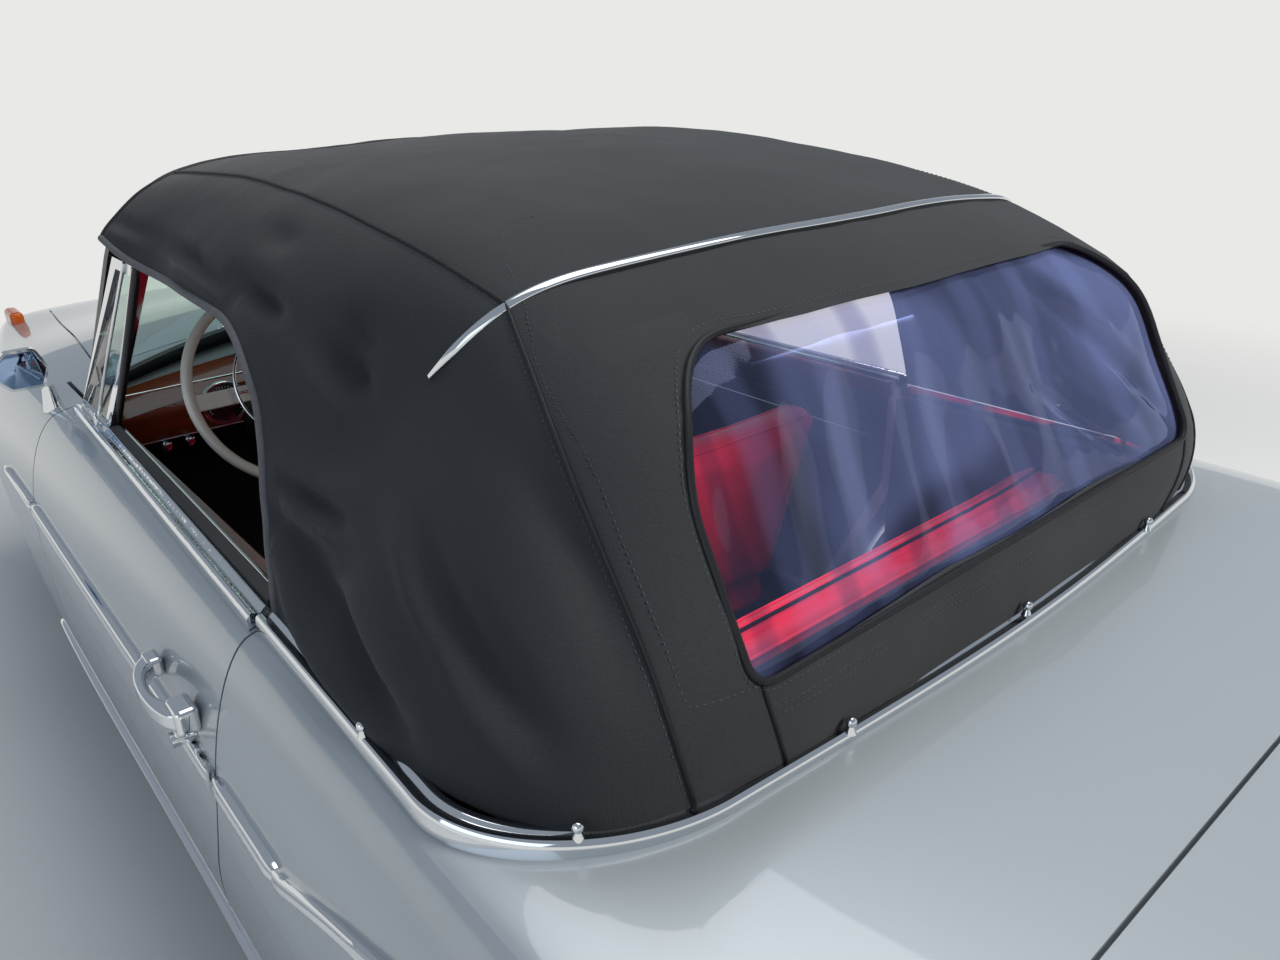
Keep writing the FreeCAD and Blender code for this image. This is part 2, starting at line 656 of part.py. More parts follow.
belt_front = -car.door_rear - car.shut_gap - 4
top_outer = top_form()
top_inner = top_form(car.cloth, 60)
side_curve = smooth_through([(277, 0, 1303), (35, 0, 1301), (-184, 0, 1291), (-266, 0, 1264), (-325, 0, 1205),
                             (-372, 0, 1120), (belt_front, 0, 938)])
side_lines = [Part.makeLine(V(belt_front, 0, 938), V(belt_front, 0, 800)),
              Part.makeLine(V(belt_front, 0, 800), V(900, 0, 800)),
              Part.makeLine(V(900, 0, 800), V(900, 0, 1325)),
              Part.makeLine(V(900, 0, 1325), V(277, 0, 1303))]
side_opening = across(Part.Wire(Part.__sortEdges__(side_curve + side_lines)), -900, 900)


def window_zone(grow):
    """The rear window's outline drawn through the cloth: round above, nearly square at its foot."""
    half, low, high = car.pane_half + grow, car.pane_low - grow, car.pane_high + grow
    zone = Part.makeBox(400, 2 * half, high - low, V(-1250, -half, low))
    along = [edge for edge in zone.Edges if abs(edge.tangentAt(edge.FirstParameter).x) > 0.9]
    middle = (low + high) / 2
    zone = zone.makeFillet(car.pane_top_corner + grow, [edge for edge in along if edge.CenterOfMass.z > middle])
    along = [edge for edge in zone.Edges if abs(edge.tangentAt(edge.FirstParameter).x) > 0.9
             and edge.CenterOfMass.z < low + 1 and abs(edge.CenterOfMass.y) > half - 1]
    return zone.makeFillet(car.pane_foot_corner + grow, along)


front_clear = screen_slab(700, -700 + car.frame_wall + car.seat_gap)
top_solid = top_outer.cut(top_inner)
top_solid = top_solid.cut(side_opening).cut(front_clear).cut(window_zone(0))
rail_low, rail_high = car.foot_height - 12, car.foot_height + 14
tack_rail = upright(opening_outline(-car.moulding_in - car.seat_gap), rail_low, rail_high)
tack_rail = tack_rail.cut(upright(opening_outline(-car.foot_inset - car.cloth), rail_low, rail_high))
tack_rail = tack_rail.common(Part.makeBox(1200, 2000, 100, V(belt_front - 1200, -1000, rail_low - 20)))
soft_top = formed("soft_top", top_solid.fuse(tack_rail).removeSplitter())
pane_band = top_form(4).cut(top_form(8, 60))
rear_window = formed("rear_window", pane_band.common(window_zone(-car.seat_gap)))


# Belt moulding and the strip on the rear bow
ring_low, ring_high = car.moulding_height - 40, car.moulding_height + car.moulding_proud - 6


def moulding_ring(out, inner, high):
    return upright(opening_outline(out), ring_low, high).cut(upright(opening_outline(-inner), ring_low, high))


def bevelled(ring, high):
    """The ring with the long edges of its top rounded."""
    rims = [edge for edge in ring.Edges if edge.BoundBox.ZMin > high - 0.01 and edge.CenterOfMass.x < car.door_front - 1]
    return ring.makeFillet(car.moulding_round, rims)


moulding_rear = Part.makeBox(1200, 2000, 100, V(belt_front - 1200, -1000, ring_low - 10))
outer_ridge = bevelled(moulding_ring(car.moulding_out, car.moulding_in, ring_high), ring_high)
groove = moulding_ring(car.moulding_out - 13, car.moulding_in - 15, ring_high + 10).cut(
    moulding_ring(car.moulding_out, car.moulding_in, ring_high - 5))
moulding_solid = outer_ridge.cut(groove).common(moulding_rear).cut(seat_form)
BOW_TIP, BOW_MIDDLE = (-628, 612), -756
bow_edges = []
for back in (0, car.bow_width):
    tips = [V(BOW_TIP[0] - back, side * BOW_TIP[1], 0) for side in (1, -1)]
    bow_edges.append(Part.Arc(tips[0], V(BOW_MIDDLE - back, 0, 0), tips[1]).toShape())
for side in (1, -1):
    bow_edges.append(Part.makeLine(V(BOW_TIP[0], side * BOW_TIP[1], 0),
                                   V(BOW_TIP[0] - car.bow_width, side * BOW_TIP[1], 0)))
bow_plan = Part.Wire(Part.__sortEdges__(bow_edges))
bow_solid = upright(bow_plan, 1200, 1500).common(top_form(-car.bow_depth / 2)).cut(top_form(-car.seat_gap))
belt_moulding = formed("belt_moulding", moulding_solid)
bow_strip = formed("bow_strip", bow_solid)

# Strips along the sides: a thin skin over the body, cut to bands
strip_form = formed("strip_form", hull(-car.strip_depth, 0))
seat_body = formed("seat_body", seat_form)
strip_skin = cut("strip_skin", strip_form, seat_body)


def band(name, outline):
    """An outline seen from the side, stretched right across the car."""
    face = Part.Face(Part.makePolygon([V(x, -1000, z) for x, z in outline + outline[:1]]))
    return formed(name, face.extrude(V(0, 2000, 0)))


strip_low = car.strip_height - car.strip_width / 2
strip_high = car.strip_height + car.strip_width / 2
front_band = band("front_band", [(car.door_front + gap, strip_low), (1150, strip_low), (1150, strip_high), (car.door_front + gap, strip_high)])
nose_band = band("nose_band", [(1900, strip_low), (2120, strip_low), (2120, strip_high), (1900, strip_high)])
rear_band = band("rear_band", [
    (-car.door_rear - gap, strip_low), (-660, strip_low - 4), (-760, 726), (-850, 762), (-985, 800), (-1170, 816),
    (-1170, 846), (-975, 836), (-890, 815), (-770, 768), (-640, strip_high - 6), (-car.door_rear - gap, strip_high)])
side_zone = fuse("side_zone", block("left_side_zone", ("-3000", "3000"), ("600", "1000"), ("0", "1000")),
                 block("right_side_zone", ("-3000", "3000"), ("-1000", "-600"), ("0", "1000")))
sill_low = car.sill_height + 4
sill_high = sill_low + car.sill_strip
sill_front, sill_rear = car.front_axle - car.arch_radius - 20, -car.rear_axle + car.arch_radius + 20
sill_band = band("sill_band", [(sill_rear, sill_low), (sill_front, sill_low), (sill_front, sill_high),
                               (sill_rear, sill_high)])
bands = fuse("bands", front_band, nose_band, rear_band, sill_band)
side_strips = common("side_strips", strip_skin, common("side_bands", bands, side_zone))

# Door trim: the belt cap, the strip, the pull handle and the quarter-light's frame
door_band = band("door_band", [(-car.door_rear, strip_low), (car.door_front - 4, strip_low), (car.door_front - 4, strip_high), (-car.door_rear, strip_high)])
door_strip = common("door_strip", strip_skin, common("door_band_left", door_band, block("door_band_zone", ("-3000", "3000"), ("600", "1000"), ("0", "1000"))))
cap_front, cap_rear = car.door_front - 45, -car.door_rear + 3
CAP_CROWN = [(car.moulding_in, 1), (10, 9), (6, 12), (1, 9), (-4, 5), (-9, 7), (-14, 9), (-20, 5), (-car.moulding_out, -3)]


def cap_section(x):
    """The door moulding's section across the car: two ridges and a groove over straight sides."""
    at_y = opening_half_at(x, 0)
    crown = Part.BSplineCurve()
    crown.interpolate([V(x, at_y - inward, car.moulding_height + up - 6) for inward, up in CAP_CROWN])
    start, end = crown.StartPoint, crown.EndPoint
    feet = [V(x, start.y, ring_low), V(x, end.y, ring_low)]
    return Part.Wire(Part.__sortEdges__([crown.toShape(), Part.makeLine(end, feet[1]), Part.makeLine(*feet),
                                         Part.makeLine(feet[0], start)]))


cap_block = Part.makeLoft([cap_section(cap_front), cap_section(cap_rear)], True, True)
cap_solid = cap_block.common(Part.makeBox(3000, 300, 400, V(-1500, car.cabin_half + 0.5, 800))).cut(seat_form)
door_cap = formed("door_cap", cap_solid)


def leaning(low, high, thick):
    """A thin upright panel that leans in: its foot and head lines as (x rear, x front, y, z)."""
    wires = []
    for rear, front, y, z in (low, high):
        wires.append(Part.makePolygon([V(rear, y, z), V(front, y, z), V(front, y - thick, z), V(rear, y - thick, z), V(rear, y, z)]))
    return Part.makeLoft(wires, True, True)


vent_low, vent_high = (553, 788, 728, 925), (309, 505, 652, 1290)
vent_outer = leaning(vent_low, vent_high, 16)
pane_low, pane_high = (575, 765, 724, 950), (337, 482, 651, 1270)
vent_void = leaning((pane_low[0], pane_low[1], 760, pane_low[3]), (pane_high[0], pane_high[1], 690, pane_high[3]), 90)
vent_frame = formed("vent_frame", vent_outer.cut(vent_void).cut(seat_form).cut(cap_solid))
grown = leaning((pane_low[0] + 0.3, pane_low[1] - 0.3, 722, pane_low[3] + 0.3), (pane_high[0] + 0.3, pane_high[1] - 0.3, 646, pane_high[3] - 0.3), 5)
vent_glass_left = formed("vent_glass_left", grown)

# The pull bows out from a small front foot to a broad rear pad, with the lock's barrel under it
HANDLE_LOW, HANDLE_RISE = 757, 28
outer_bow = [(-128, 866, HANDLE_LOW), (-132, 904, HANDLE_LOW), (-190, 916, HANDLE_LOW), (-250, 914, HANDLE_LOW),
             (-318, 908, HANDLE_LOW), (-334, 896, HANDLE_LOW), (-334, 866, HANDLE_LOW)]
inner_bow = [(-162, 866, HANDLE_LOW), (-168, 888, HANDLE_LOW), (-205, 897, HANDLE_LOW), (-240, 898, HANDLE_LOW),
             (-276, 894, HANDLE_LOW), (-286, 880, HANDLE_LOW), (-290, 866, HANDLE_LOW)]
bow_outline = [bezier(outer_bow), bezier(inner_bow), Part.makeLine(V(*outer_bow[0]), V(*inner_bow[0])),
               Part.makeLine(V(*outer_bow[-1]), V(*inner_bow[-1]))]
bow_pull = Part.Face(Part.Wire(Part.__sortEdges__(bow_outline))).extrude(V(0, 0, HANDLE_RISE))
bow_pull = bow_pull.makeFillet(6, [edge for edge in bow_pull.Edges if edge.BoundBox.YMax > 890])
pad = Part.makeBox(56, 34, 44, V(-340, 855, HANDLE_LOW - 8))
pad = pad.makeFillet(9, pad.Edges)
foot = Part.makeBox(40, 24, 34, V(-164, 855, HANDLE_LOW - 3))
foot = foot.makeFillet(7, foot.Edges)
lock = Part.makeCylinder(13, 34, V(-306, 862, HANDLE_LOW - 22), V(0, 1, 0))
door_handle = formed("door_handle", bow_pull.fuse([pad, foot, lock]).cut(seat_form).removeSplitter())
door_trim_left = group("door_trim_left", door_strip, door_cap, vent_frame, door_handle)
mirrored("door_trim_right", door_trim_left)
mirrored("vent_glass_right", vent_glass_left)

# Wood rails along the doors' inner edges
door_inside = car.cabin_half
rail_ends = (-car.door_rear + 17, 598)
rail_solid = Part.makeBox(rail_ends[1] - rail_ends[0], 20, 38, V(rail_ends[0], door_inside - 20, 896))
rail_solid = rail_solid.makeFillet(8, [edge for edge in rail_solid.Edges if edge.CenterOfMass.y < door_inside - 1])
door_rail_left = formed("door_rail_left", rail_solid)
mirrored("door_rail_right", door_rail_left)


# Mirrors on the wings, just ahead of the doors
MIRROR_DEPTH = 30
MIRROR_RIM = [(-54, -2), (-36, -44), (30, -44), (54, -18), (50, 26), (24, 46), (-34, 46)]
mirror_parts = []
for sign in (1, -1):
    base = Part.makeCone(22, 12, 60, V(880, sign * 770, 905), V(0, 0, 1)).cut(seat_form)
    stalk = Part.makeCylinder(7, 70, V(880, sign * 770, 950), V(-0.05, sign * 0.5, 0.85))
    rim = [V(862, sign * (812 + across_head), 1012 + up) for across_head, up in MIRROR_RIM]
    head = Part.Face(Part.makePolygon(rim + rim[:1])).extrude(V(MIRROR_DEPTH, 0, 0))
    head = head.makeFillet(14, [edge for edge in head.Edges if abs(edge.tangentAt(edge.FirstParameter).x) > 0.9])
    head = head.makeFillet(9, [edge for edge in head.Edges if edge.BoundBox.XMin > 862 + MIRROR_DEPTH - 1])
    mirror_parts.append(base.fuse([stalk, head]).removeSplitter())
mirrors = formed("mirrors", Part.makeCompound(mirror_parts))

# Lamps
def lamp_solid(at_y):
    """A round lamp: bucket through the panel, bezel outside it and a domed lens."""
    bucket = Part.makeCylinder(79.7, 90, V(nose_end - 80, at_y, 690), V(1, 0, 0))
    bezel = Part.makeCylinder(97, 22, V(nose_end + car.seat_gap, at_y, 690), V(1, 0, 0))
    bezel = bezel.makeFillet(12, [edge for edge in bezel.Edges if edge.BoundBox.XMin > nose_end + 15])
    dome = Part.makeSphere(120, V(nose_end - 72, at_y, 690)).common(Part.makeCylinder(78, 100, V(nose_end + 5, at_y, 690), V(1, 0, 0)))
    return bucket.fuse([bezel, dome]).removeSplitter()


headlamps = formed("headlamps", Part.makeCompound([lamp_solid(600), lamp_solid(-600)]))


def soft_box(x, y, z, rounding):
    """A box between two places along each axis with all its edges rounded."""
    solid = Part.makeBox(x[1] - x[0], y[1] - y[0], z[1] - z[0], V(x[0], y[0], z[0]))
    return solid.makeFillet(rounding, solid.Edges)


tail_parts = []
for low, high in ((545, 700), (-700, -545)):
    tail_parts.append(soft_box((tail_end - 40, tail_end - car.seat_gap), (low, high), (590, 690), 14))
tail_lamps = formed("tail_lamps", Part.makeCompound(tail_parts))
turn_parts = []
for low, high in ((648, 686), (-686, -648)):
    turn_parts.append(soft_box((1895, 2010), (low, high), (860, 936), 14).cut(seat_form))
    turn_parts.append(soft_box((nose_end + car.seat_gap, nose_end + 20), (low - 90, high - 90) if low > 0 else (low + 90, high + 90), (520, 560), 8))
turn_lamps = formed("turn_lamps", Part.makeCompound(turn_parts))

# Grille: a bright frame in the nose's opening and upright bars on two rails
grille_half, grille_low, grille_high = 400 - car.seat_gap, 575 + car.seat_gap, 790 - car.seat_gap
ring_out = Part.makeBox(46, 2 * grille_half, grille_high - grille_low, V(nose_end - 26, -grille_half, grille_low))
ring_in = Part.makeBox(60, 2 * grille_half - 36, grille_high - grille_low - 36, V(nose_end - 30, -grille_half + 18, grille_low + 18))
bars = []
bar_count = 27
pitch = (2 * grille_half - 36) / (bar_count + 1)
for i in range(bar_count):
    middle = -grille_half + 18 + pitch * (i + 1)
    bars.append(Part.makeBox(22, 6, grille_high - grille_low - 20, V(nose_end - 16, middle - 3, grille_low + 10)))
for height in (grille_low + 60, grille_high - 72):
    bars.append(Part.makeBox(8, 2 * grille_half - 20, 12, V(nose_end - 20, -grille_half + 10, height)))
grille = formed("grille", ring_out.cut(ring_in).fuse(bars).removeSplitter())


# Bumpers: a rounded bar swept round the end of the body, with its brackets
def bumper(end_x, sign, height, side_x):
    """end_x is the bar's foremost place, side_x where its side arm ends."""
    depth, rise = 38, 120
    middle = abs(end_x) - depth / 2
    arm = abs(side_x)
    left = [
        Part.makeLine(V(sign * arm, 852, height), V(sign * (middle - 230), 846, height)),
        bezier([(sign * (middle - 230), 846, height), (sign * (middle - 90), 842, height),
                (sign * (middle - 24), 800, height), (sign * (middle - 20), 660, height)]),
        bezier([(sign * (middle - 20), 660, height), (sign * (middle - 8), 500, height),
                (sign * middle, 250, height), (sign * middle, 0, height)]),
    ]
    right = [edge.mirror(V(0, 0, 0), V(0, 1, 0)) for edge in left]
    spine = Part.Wire(Part.__sortEdges__(left + right))
    profile = [V(sign * arm, 852 - depth / 2, height - rise / 2 + 14), V(sign * arm, 852, height - rise / 2),
               V(sign * arm, 852 + depth / 2, height - rise / 4), V(sign * arm, 852 + depth / 2, height + rise / 4),
               V(sign * arm, 852, height + rise / 2), V(sign * arm, 852 - depth / 2, height + rise / 2 - 14)]
    return spine.makePipeShell([Part.makePolygon(profile + profile[:1])], True, True)


half_length = car.overall_length / 2
front_bar = bumper(half_length, 1, 440, 2070)
rear_bar = bumper(-half_length, -1, 450, -2070)
bar_back = half_length - 38
for name, bar, sign, near, far, rail in (("bumper_front", front_bar, 1, 360, 400, 330), ("bumper_rear", rear_bar, -1, 440, 480, 385)):
    brackets = []
    for low, high in ((near, far), (-far, -near)):
        arm = Part.makeBox(bar_back - 2060, high - low, 50, V(2060, low, 275))
        plate = Part.makeBox(26, high - low, 150, V(bar_back - 26, low, 275))
        link = Part.makeBox(70, high - low, rail - 275, V(2060, low, 275))
        brackets.append(arm.fuse([plate, link]))
    if sign < 0:
        brackets = [bracket.mirror(V(0, 0, 0), V(1, 0, 0)) for bracket in brackets]
    formed(name, bar.fuse(brackets).removeSplitter())

# Tow eyes under the brackets
eye_parts = []
for sign, near in ((1, 373), (-1, 453)):
    for low in (near, -near - 14):
        plate = Part.makeBox(70, 14, 70, V(2205, low, 205))
        hole = Part.makeCylinder(14, 40, V(2240, low - 10, 232), V(0, 1, 0))
        eye = plate.cut(hole)
        eye_parts.append(eye if sign > 0 else eye.mirror(V(0, 0, 0), V(1, 0, 0)))
tow_eyes = formed("tow_eyes", Part.makeCompound(eye_parts))

# Engine, exhaust and tank
engine_block = block("engine_block", ("1180", "1800"), ("-230", "230"), ("300", "800"))
pipe = rod("tail_pipe", "22", "3460", ("1240", "-290", "182"), (-1, 0, 0))
down_pipe = rod("down_pipe", "22", "300", ("1240", "-290", "170"), (0, 0, 1))
manifold = block("manifold", ("1200", "1600"), ("-316", "-230"), ("440", "500"))
box_front = block("box_front", ("-450", "150"), ("-380", "-200"), ("148", "215"))
box_rear = block("box_rear", ("-2100", "-1750"), ("-380", "-200"), ("148", "215"))
exhaust_system = fuse("exhaust_system", pipe, down_pipe, manifold, box_front, box_rear)
fuel_tank = block("fuel_tank", ("-2000", "-1450"), ("-400", "400"), ("240", "429.7"))

# Front subframe, arms and knuckles
cross = block("cross", ("1470", "1590"), ("-345", "345"), ("225", "300"))
towers = [block(f"tower_{side}", ("1470", "1590"), pair, ("225", "330")) for side, pair in (("left", ("345", "412")), ("right", ("-412", "-345")))]
arms = []
for side, sign in (("left", 1), ("right", -1)):
    low = "400" if sign > 0 else "-(car.front_track / 2 - car.kingpin_inset + 22)"
    high = "car.front_track / 2 - car.kingpin_inset + 22" if sign > 0 else "-400"
    arms.append(block(f"lower_arm_{side}", ("1500", "1560"), (low, high), ("226", "240")))
front_subframe = fuse("front_subframe", cross, *towers, *arms)

axle_height = "car.tyre_radius"
kingpin_y = "(car.front_track / 2 - car.kingpin_inset)"
kingpin_foot = "(240 + car.seat_gap)"
kingpin = rod("kingpin", "24", f"2 * (car.tyre_radius - {kingpin_foot})", ("car.front_axle", kingpin_y, kingpin_foot),
              (0, 0, 1))
spindle = rod("spindle", "car.hub_bore", "car.kingpin_inset + 52", ("car.front_axle", kingpin_y, axle_height), (0, 1, 0))
backing = rod("backing", "84", "8", ("car.front_axle", f"{kingpin_y} + 16", axle_height), (0, 1, 0))
bridge = rod("bridge", "45", "20", ("car.front_axle", kingpin_y, axle_height), (0, 1, 0))
knuckle_left = fuse("knuckle_left", kingpin, spindle, backing, bridge)
mirrored("knuckle_right", knuckle_left)

# Rear axle
axle_tube = rod("axle_tube", "38", "car.rear_track - 100", ("-car.rear_axle", "-car.rear_track / 2 + 50", axle_height), (0, 1, 0))
axle_shaft = rod("axle_shaft", "car.hub_bore", "car.rear_track + 100", ("-car.rear_axle", "-car.rear_track / 2 - 50", axle_height), (0, 1, 0))
differential = rod("differential", "94", "150", ("-car.rear_axle", "-75", axle_height), (0, 1, 0))
spring_seats = [block(f"spring_seat_{side}", ("-car.rear_axle - 40", "-car.rear_axle + 40"), pair, ("car.tyre_radius", "385"))
                for side, pair in (("left", ("435", "485")), ("right", ("-485", "-435")))]
rear_axle = fuse("rear_axle", axle_tube, axle_shaft, differential, *spring_seats)


# Wheels: tyre and wheel turned about their own axle from half sections (radius, place across)
def turned(name, corners, at, outward):
    body = doc.addObject("PartDesign::Body", name)
    body.Label = name
    sketch = body.newObject("Sketcher::SketchObject", name + "_section")
    plane = [feature for feature in body.Origin.OriginFeatures if feature.Role == "XZ_Plane"][0]
    sketch.AttachmentSupport = [(plane, "")]
    sketch.MapMode = "FlatFace"
    last = len(corners)
    guesses = [V(250 + 60 * math.cos(2 * math.pi * i / last), 60 * math.sin(2 * math.pi * i / last), 0) for i in range(last)]
    for i in range(last):
        sketch.addGeometry(Part.LineSegment(guesses[i], guesses[(i + 1) % last]))
    for i in range(last):
        sketch.addConstraint(Sketcher.Constraint("Coincident", i, 2, (i + 1) % last, 1))
    for i, corner in enumerate(corners):
        for kind, text in zip(("DistanceX", "DistanceY"), corner):
            index = sketch.addConstraint(Sketcher.Constraint(kind, i, 1, getattr(guesses[i], "x" if kind == "DistanceX" else "y")))
            sketch.setExpression(f"Constraints[{index}]", text)
    turn = body.newObject("PartDesign::Revolution", name + "_turn")
    turn.Profile = sketch
    turn.ReferenceAxis = (sketch, ["V_Axis"])
    turn.Angle = 360
    body.Placement = FreeCAD.Placement(V(0, 0, 0), FreeCAD.Rotation(V(0, 0, 1), V(0, outward, 0)))
    for prop, text in place(name, *at).items():
        body.setExpression(prop, text)
    return body


TYRE_SECTION = [
    ("car.rim_radius", "-car.rim_width / 2 + 8"),
    ("car.rim_radius + 10 + car.seat_gap", "-car.rim_width / 2 + 8"),
    ("car.rim_radius + 14", "-car.rim_width / 2 - 2"),
    ("car.rim_radius + 70", "-car.tyre_width / 2"),
    ("car.tyre_radius - 34", "-car.tyre_width / 2 + 5"),
    ("car.tyre_radius - 7", "-car.tyre_width / 2 + 22"),
    ("car.tyre_radius", "-car.tyre_width / 2 + 44"),
    ("car.tyre_radius", "car.tyre_width / 2 - 44"),
    ("car.tyre_radius - 7", "car.tyre_width / 2 - 22"),
    ("car.tyre_radius - 34", "car.tyre_width / 2 - 5"),
    ("car.rim_radius + 70", "car.tyre_width / 2"),
    ("car.rim_radius + 14", "car.rim_width / 2 + 2"),
    ("car.rim_radius + 10 + car.seat_gap", "car.rim_width / 2 - 8"),
    ("car.rim_radius", "car.rim_width / 2 - 8"),
]
WHEEL_SECTION = [
    ("car.rim_radius", "-car.rim_width / 2 + 8"),
    ("car.rim_radius", "car.rim_width / 2 - 8"),
    ("car.rim_radius + 10", "car.rim_width / 2 - 6"),
    ("car.rim_radius + 10", "car.rim_width / 2"),
    ("car.rim_radius - 6", "car.rim_width / 2"),
    ("car.rim_radius - 14", "car.rim_width / 2 - 12"),
    ("car.rim_radius - 30", "car.rim_width / 2 - 22"),
    ("car.rim_radius - 60", "car.rim_width / 2 - 8"),
    ("car.rim_radius - 120", "car.rim_width / 2 + 2"),
    ("26", "car.rim_width / 2 + 4"),
    ("26", "car.rim_width / 2 - 12"),
    ("car.hub_bore + car.bearing_gap", "car.rim_width / 2 - 12"),
    ("car.hub_bore + car.bearing_gap", "-car.rim_width / 2 + 45"),
    ("50", "-car.rim_width / 2 + 45"),
    ("60", "car.rim_width / 2 - 34"),
    ("car.rim_radius - 34", "car.rim_width / 2 - 42"),
    ("car.rim_radius - 14", "car.rim_width / 2 - 50"),
    ("car.rim_radius - 14", "-car.rim_width / 2 + 4"),
    ("car.rim_radius - 6", "-car.rim_width / 2"),
    ("car.rim_radius + 10", "-car.rim_width / 2"),
    ("car.rim_radius + 10", "-car.rim_width / 2 + 6"),
]
WHEELS = [
    # name, along, across, outward
    ("front_left", "car.front_axle", "car.front_track / 2", 1),
    ("front_right", "car.front_axle", "-car.front_track / 2", -1),
    ("rear_left", "-car.rear_axle", "car.rear_track / 2", 1),
    ("rear_right", "-car.rear_axle", "-car.rear_track / 2", -1),
]
for corner_name, along, at_y, outward in WHEELS:
    turned("tyre_" + corner_name, TYRE_SECTION, (along, at_y, "car.tyre_radius"), outward)
    turned("wheel_" + corner_name, WHEEL_SECTION, (along, at_y, "car.tyre_radius"), outward)

doc.recompute()

PIECES = """
floor_pan cowl wheel_houses nose_panel wing_left wing_right hood door_left door_right door_trim_left door_trim_right
door_rail_left door_rail_right vent_glass_left vent_glass_right quarter_left quarter_right deck_panel tail_panel trunk_lid
windscreen_frame windscreen_glass soft_top rear_window belt_moulding bow_strip side_strips
dashboard parcel_shelf seat_left seat_right rear_bench cabin_trim steering_column steering_wheel
grille headlamps tail_lamps turn_lamps bumper_front bumper_rear mirrors tow_eyes
engine_block exhaust_system fuel_tank front_subframe knuckle_left knuckle_right rear_axle
""".split()
PIECES += [kind + corner_name for corner_name, *_ in WHEELS for kind in ("tyre_", "wheel_")]

for made in doc.Objects:
    if "Invalid" in made.State or "Error" in made.State:
        raise RuntimeError(f"{made.Name} failed: {made.State}")
os.makedirs("parts", exist_ok=True)
for name in PIECES:
    shape = doc.getObject(name).Shape
    if shape.isNull() or not shape.isValid():
        raise RuntimeError(f"{name} has no valid shape")
    shape.exportStep(f"parts/{name}.step")
print(len(PIECES), "pieces")
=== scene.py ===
import math

import bpy
import numpy as np
from mathutils import Matrix, Vector, noise


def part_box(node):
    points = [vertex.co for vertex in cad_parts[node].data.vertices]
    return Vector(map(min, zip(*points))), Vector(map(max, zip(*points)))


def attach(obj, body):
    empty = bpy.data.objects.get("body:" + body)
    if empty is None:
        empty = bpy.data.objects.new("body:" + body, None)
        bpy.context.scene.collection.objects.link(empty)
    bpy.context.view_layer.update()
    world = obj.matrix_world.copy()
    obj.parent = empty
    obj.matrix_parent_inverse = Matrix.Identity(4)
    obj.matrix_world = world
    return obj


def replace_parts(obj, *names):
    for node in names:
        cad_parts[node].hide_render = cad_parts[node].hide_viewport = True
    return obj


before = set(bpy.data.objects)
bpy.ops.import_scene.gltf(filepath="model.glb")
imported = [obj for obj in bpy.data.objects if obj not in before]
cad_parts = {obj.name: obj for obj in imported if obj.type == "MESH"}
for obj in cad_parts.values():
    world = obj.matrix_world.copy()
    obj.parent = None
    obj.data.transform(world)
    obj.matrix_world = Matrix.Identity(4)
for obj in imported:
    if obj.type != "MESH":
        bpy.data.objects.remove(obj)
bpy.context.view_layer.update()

# Body panels: pressed steel, welded and bolted, sprayed in silver-grey enamel and polished.
# The surface is smooth, with a faint orange peel under a glassy top coat and a slight cloud
# in its tone from one panel to the next.
MM = 0.001
ORANGE_PEEL = 3 * MM
SIDES = ((1, "left"), (-1, "right"))


def from_hex(text):
    """An sRGB colour as linear red, green and blue, with alpha."""
    channels = [int(text[i:i + 2], 16) / 255 for i in (1, 3, 5)]
    return [c / 12.92 if c <= 0.04045 else ((c + 0.055) / 1.055) ** 2.4 for c in channels] + [1.0]


def add_node(material, kind, settings, inputs):
    """Adds a shader node with its settings. An input is a value or another node's output."""
    made = material.node_tree.nodes.new("ShaderNode" + kind)
    for name, value in settings.items():
        setattr(made, name, value)
    for socket, value in inputs.items():
        if isinstance(value, bpy.types.NodeSocket):
            material.node_tree.links.new(value, made.inputs[socket])
        else:
            made.inputs[socket].default_value = value
    return made


def new_material(name):
    """A material with no nodes yet, and the place on the object that its patterns read."""
    material = bpy.data.materials.new(name)
    material.use_nodes = True
    material.node_tree.nodes.clear()
    return material, add_node(material, "TexCoord", {}, {}).outputs["Object"]


def toned(name, colours, scale, kind="TexNoise", settings={}, detail=None, bump=None, **surface):
    """A material in two tones of one pattern, with bump as its relief's strength and depth in
    millimetres, and the shader's other inputs named with _ for each space."""
    material, place = new_material(name)
    inputs = {"Vector": place, "Scale": scale} | ({"Detail": detail} if detail else {})
    shade = add_node(material, kind, settings, inputs).outputs["Distance" if kind == "TexVoronoi" else "Fac"]
    tone = add_node(material, "Mix", {"data_type": "RGBA"}, {
        0: shade, 6: from_hex(colours[0]), 7: from_hex(colours[1])})
    inputs = {word.replace("_", " "): value for word, value in surface.items()} | {"Base Color": tone.outputs[2]}
    if bump:
        relief = add_node(material, "Bump", {}, {"Height": shade, "Strength": bump[0], "Distance": bump[1] * MM})
        inputs["Normal"] = relief.outputs["Normal"]
    shader = add_node(material, "BsdfPrincipled", {}, inputs)
    add_node(material, "OutputMaterial", {}, {"Surface": shader.outputs[0]})
    return material


def give(material, *names):
    for name in names:
        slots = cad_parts[name].data.materials
        slots.clear()
        slots.append(material)


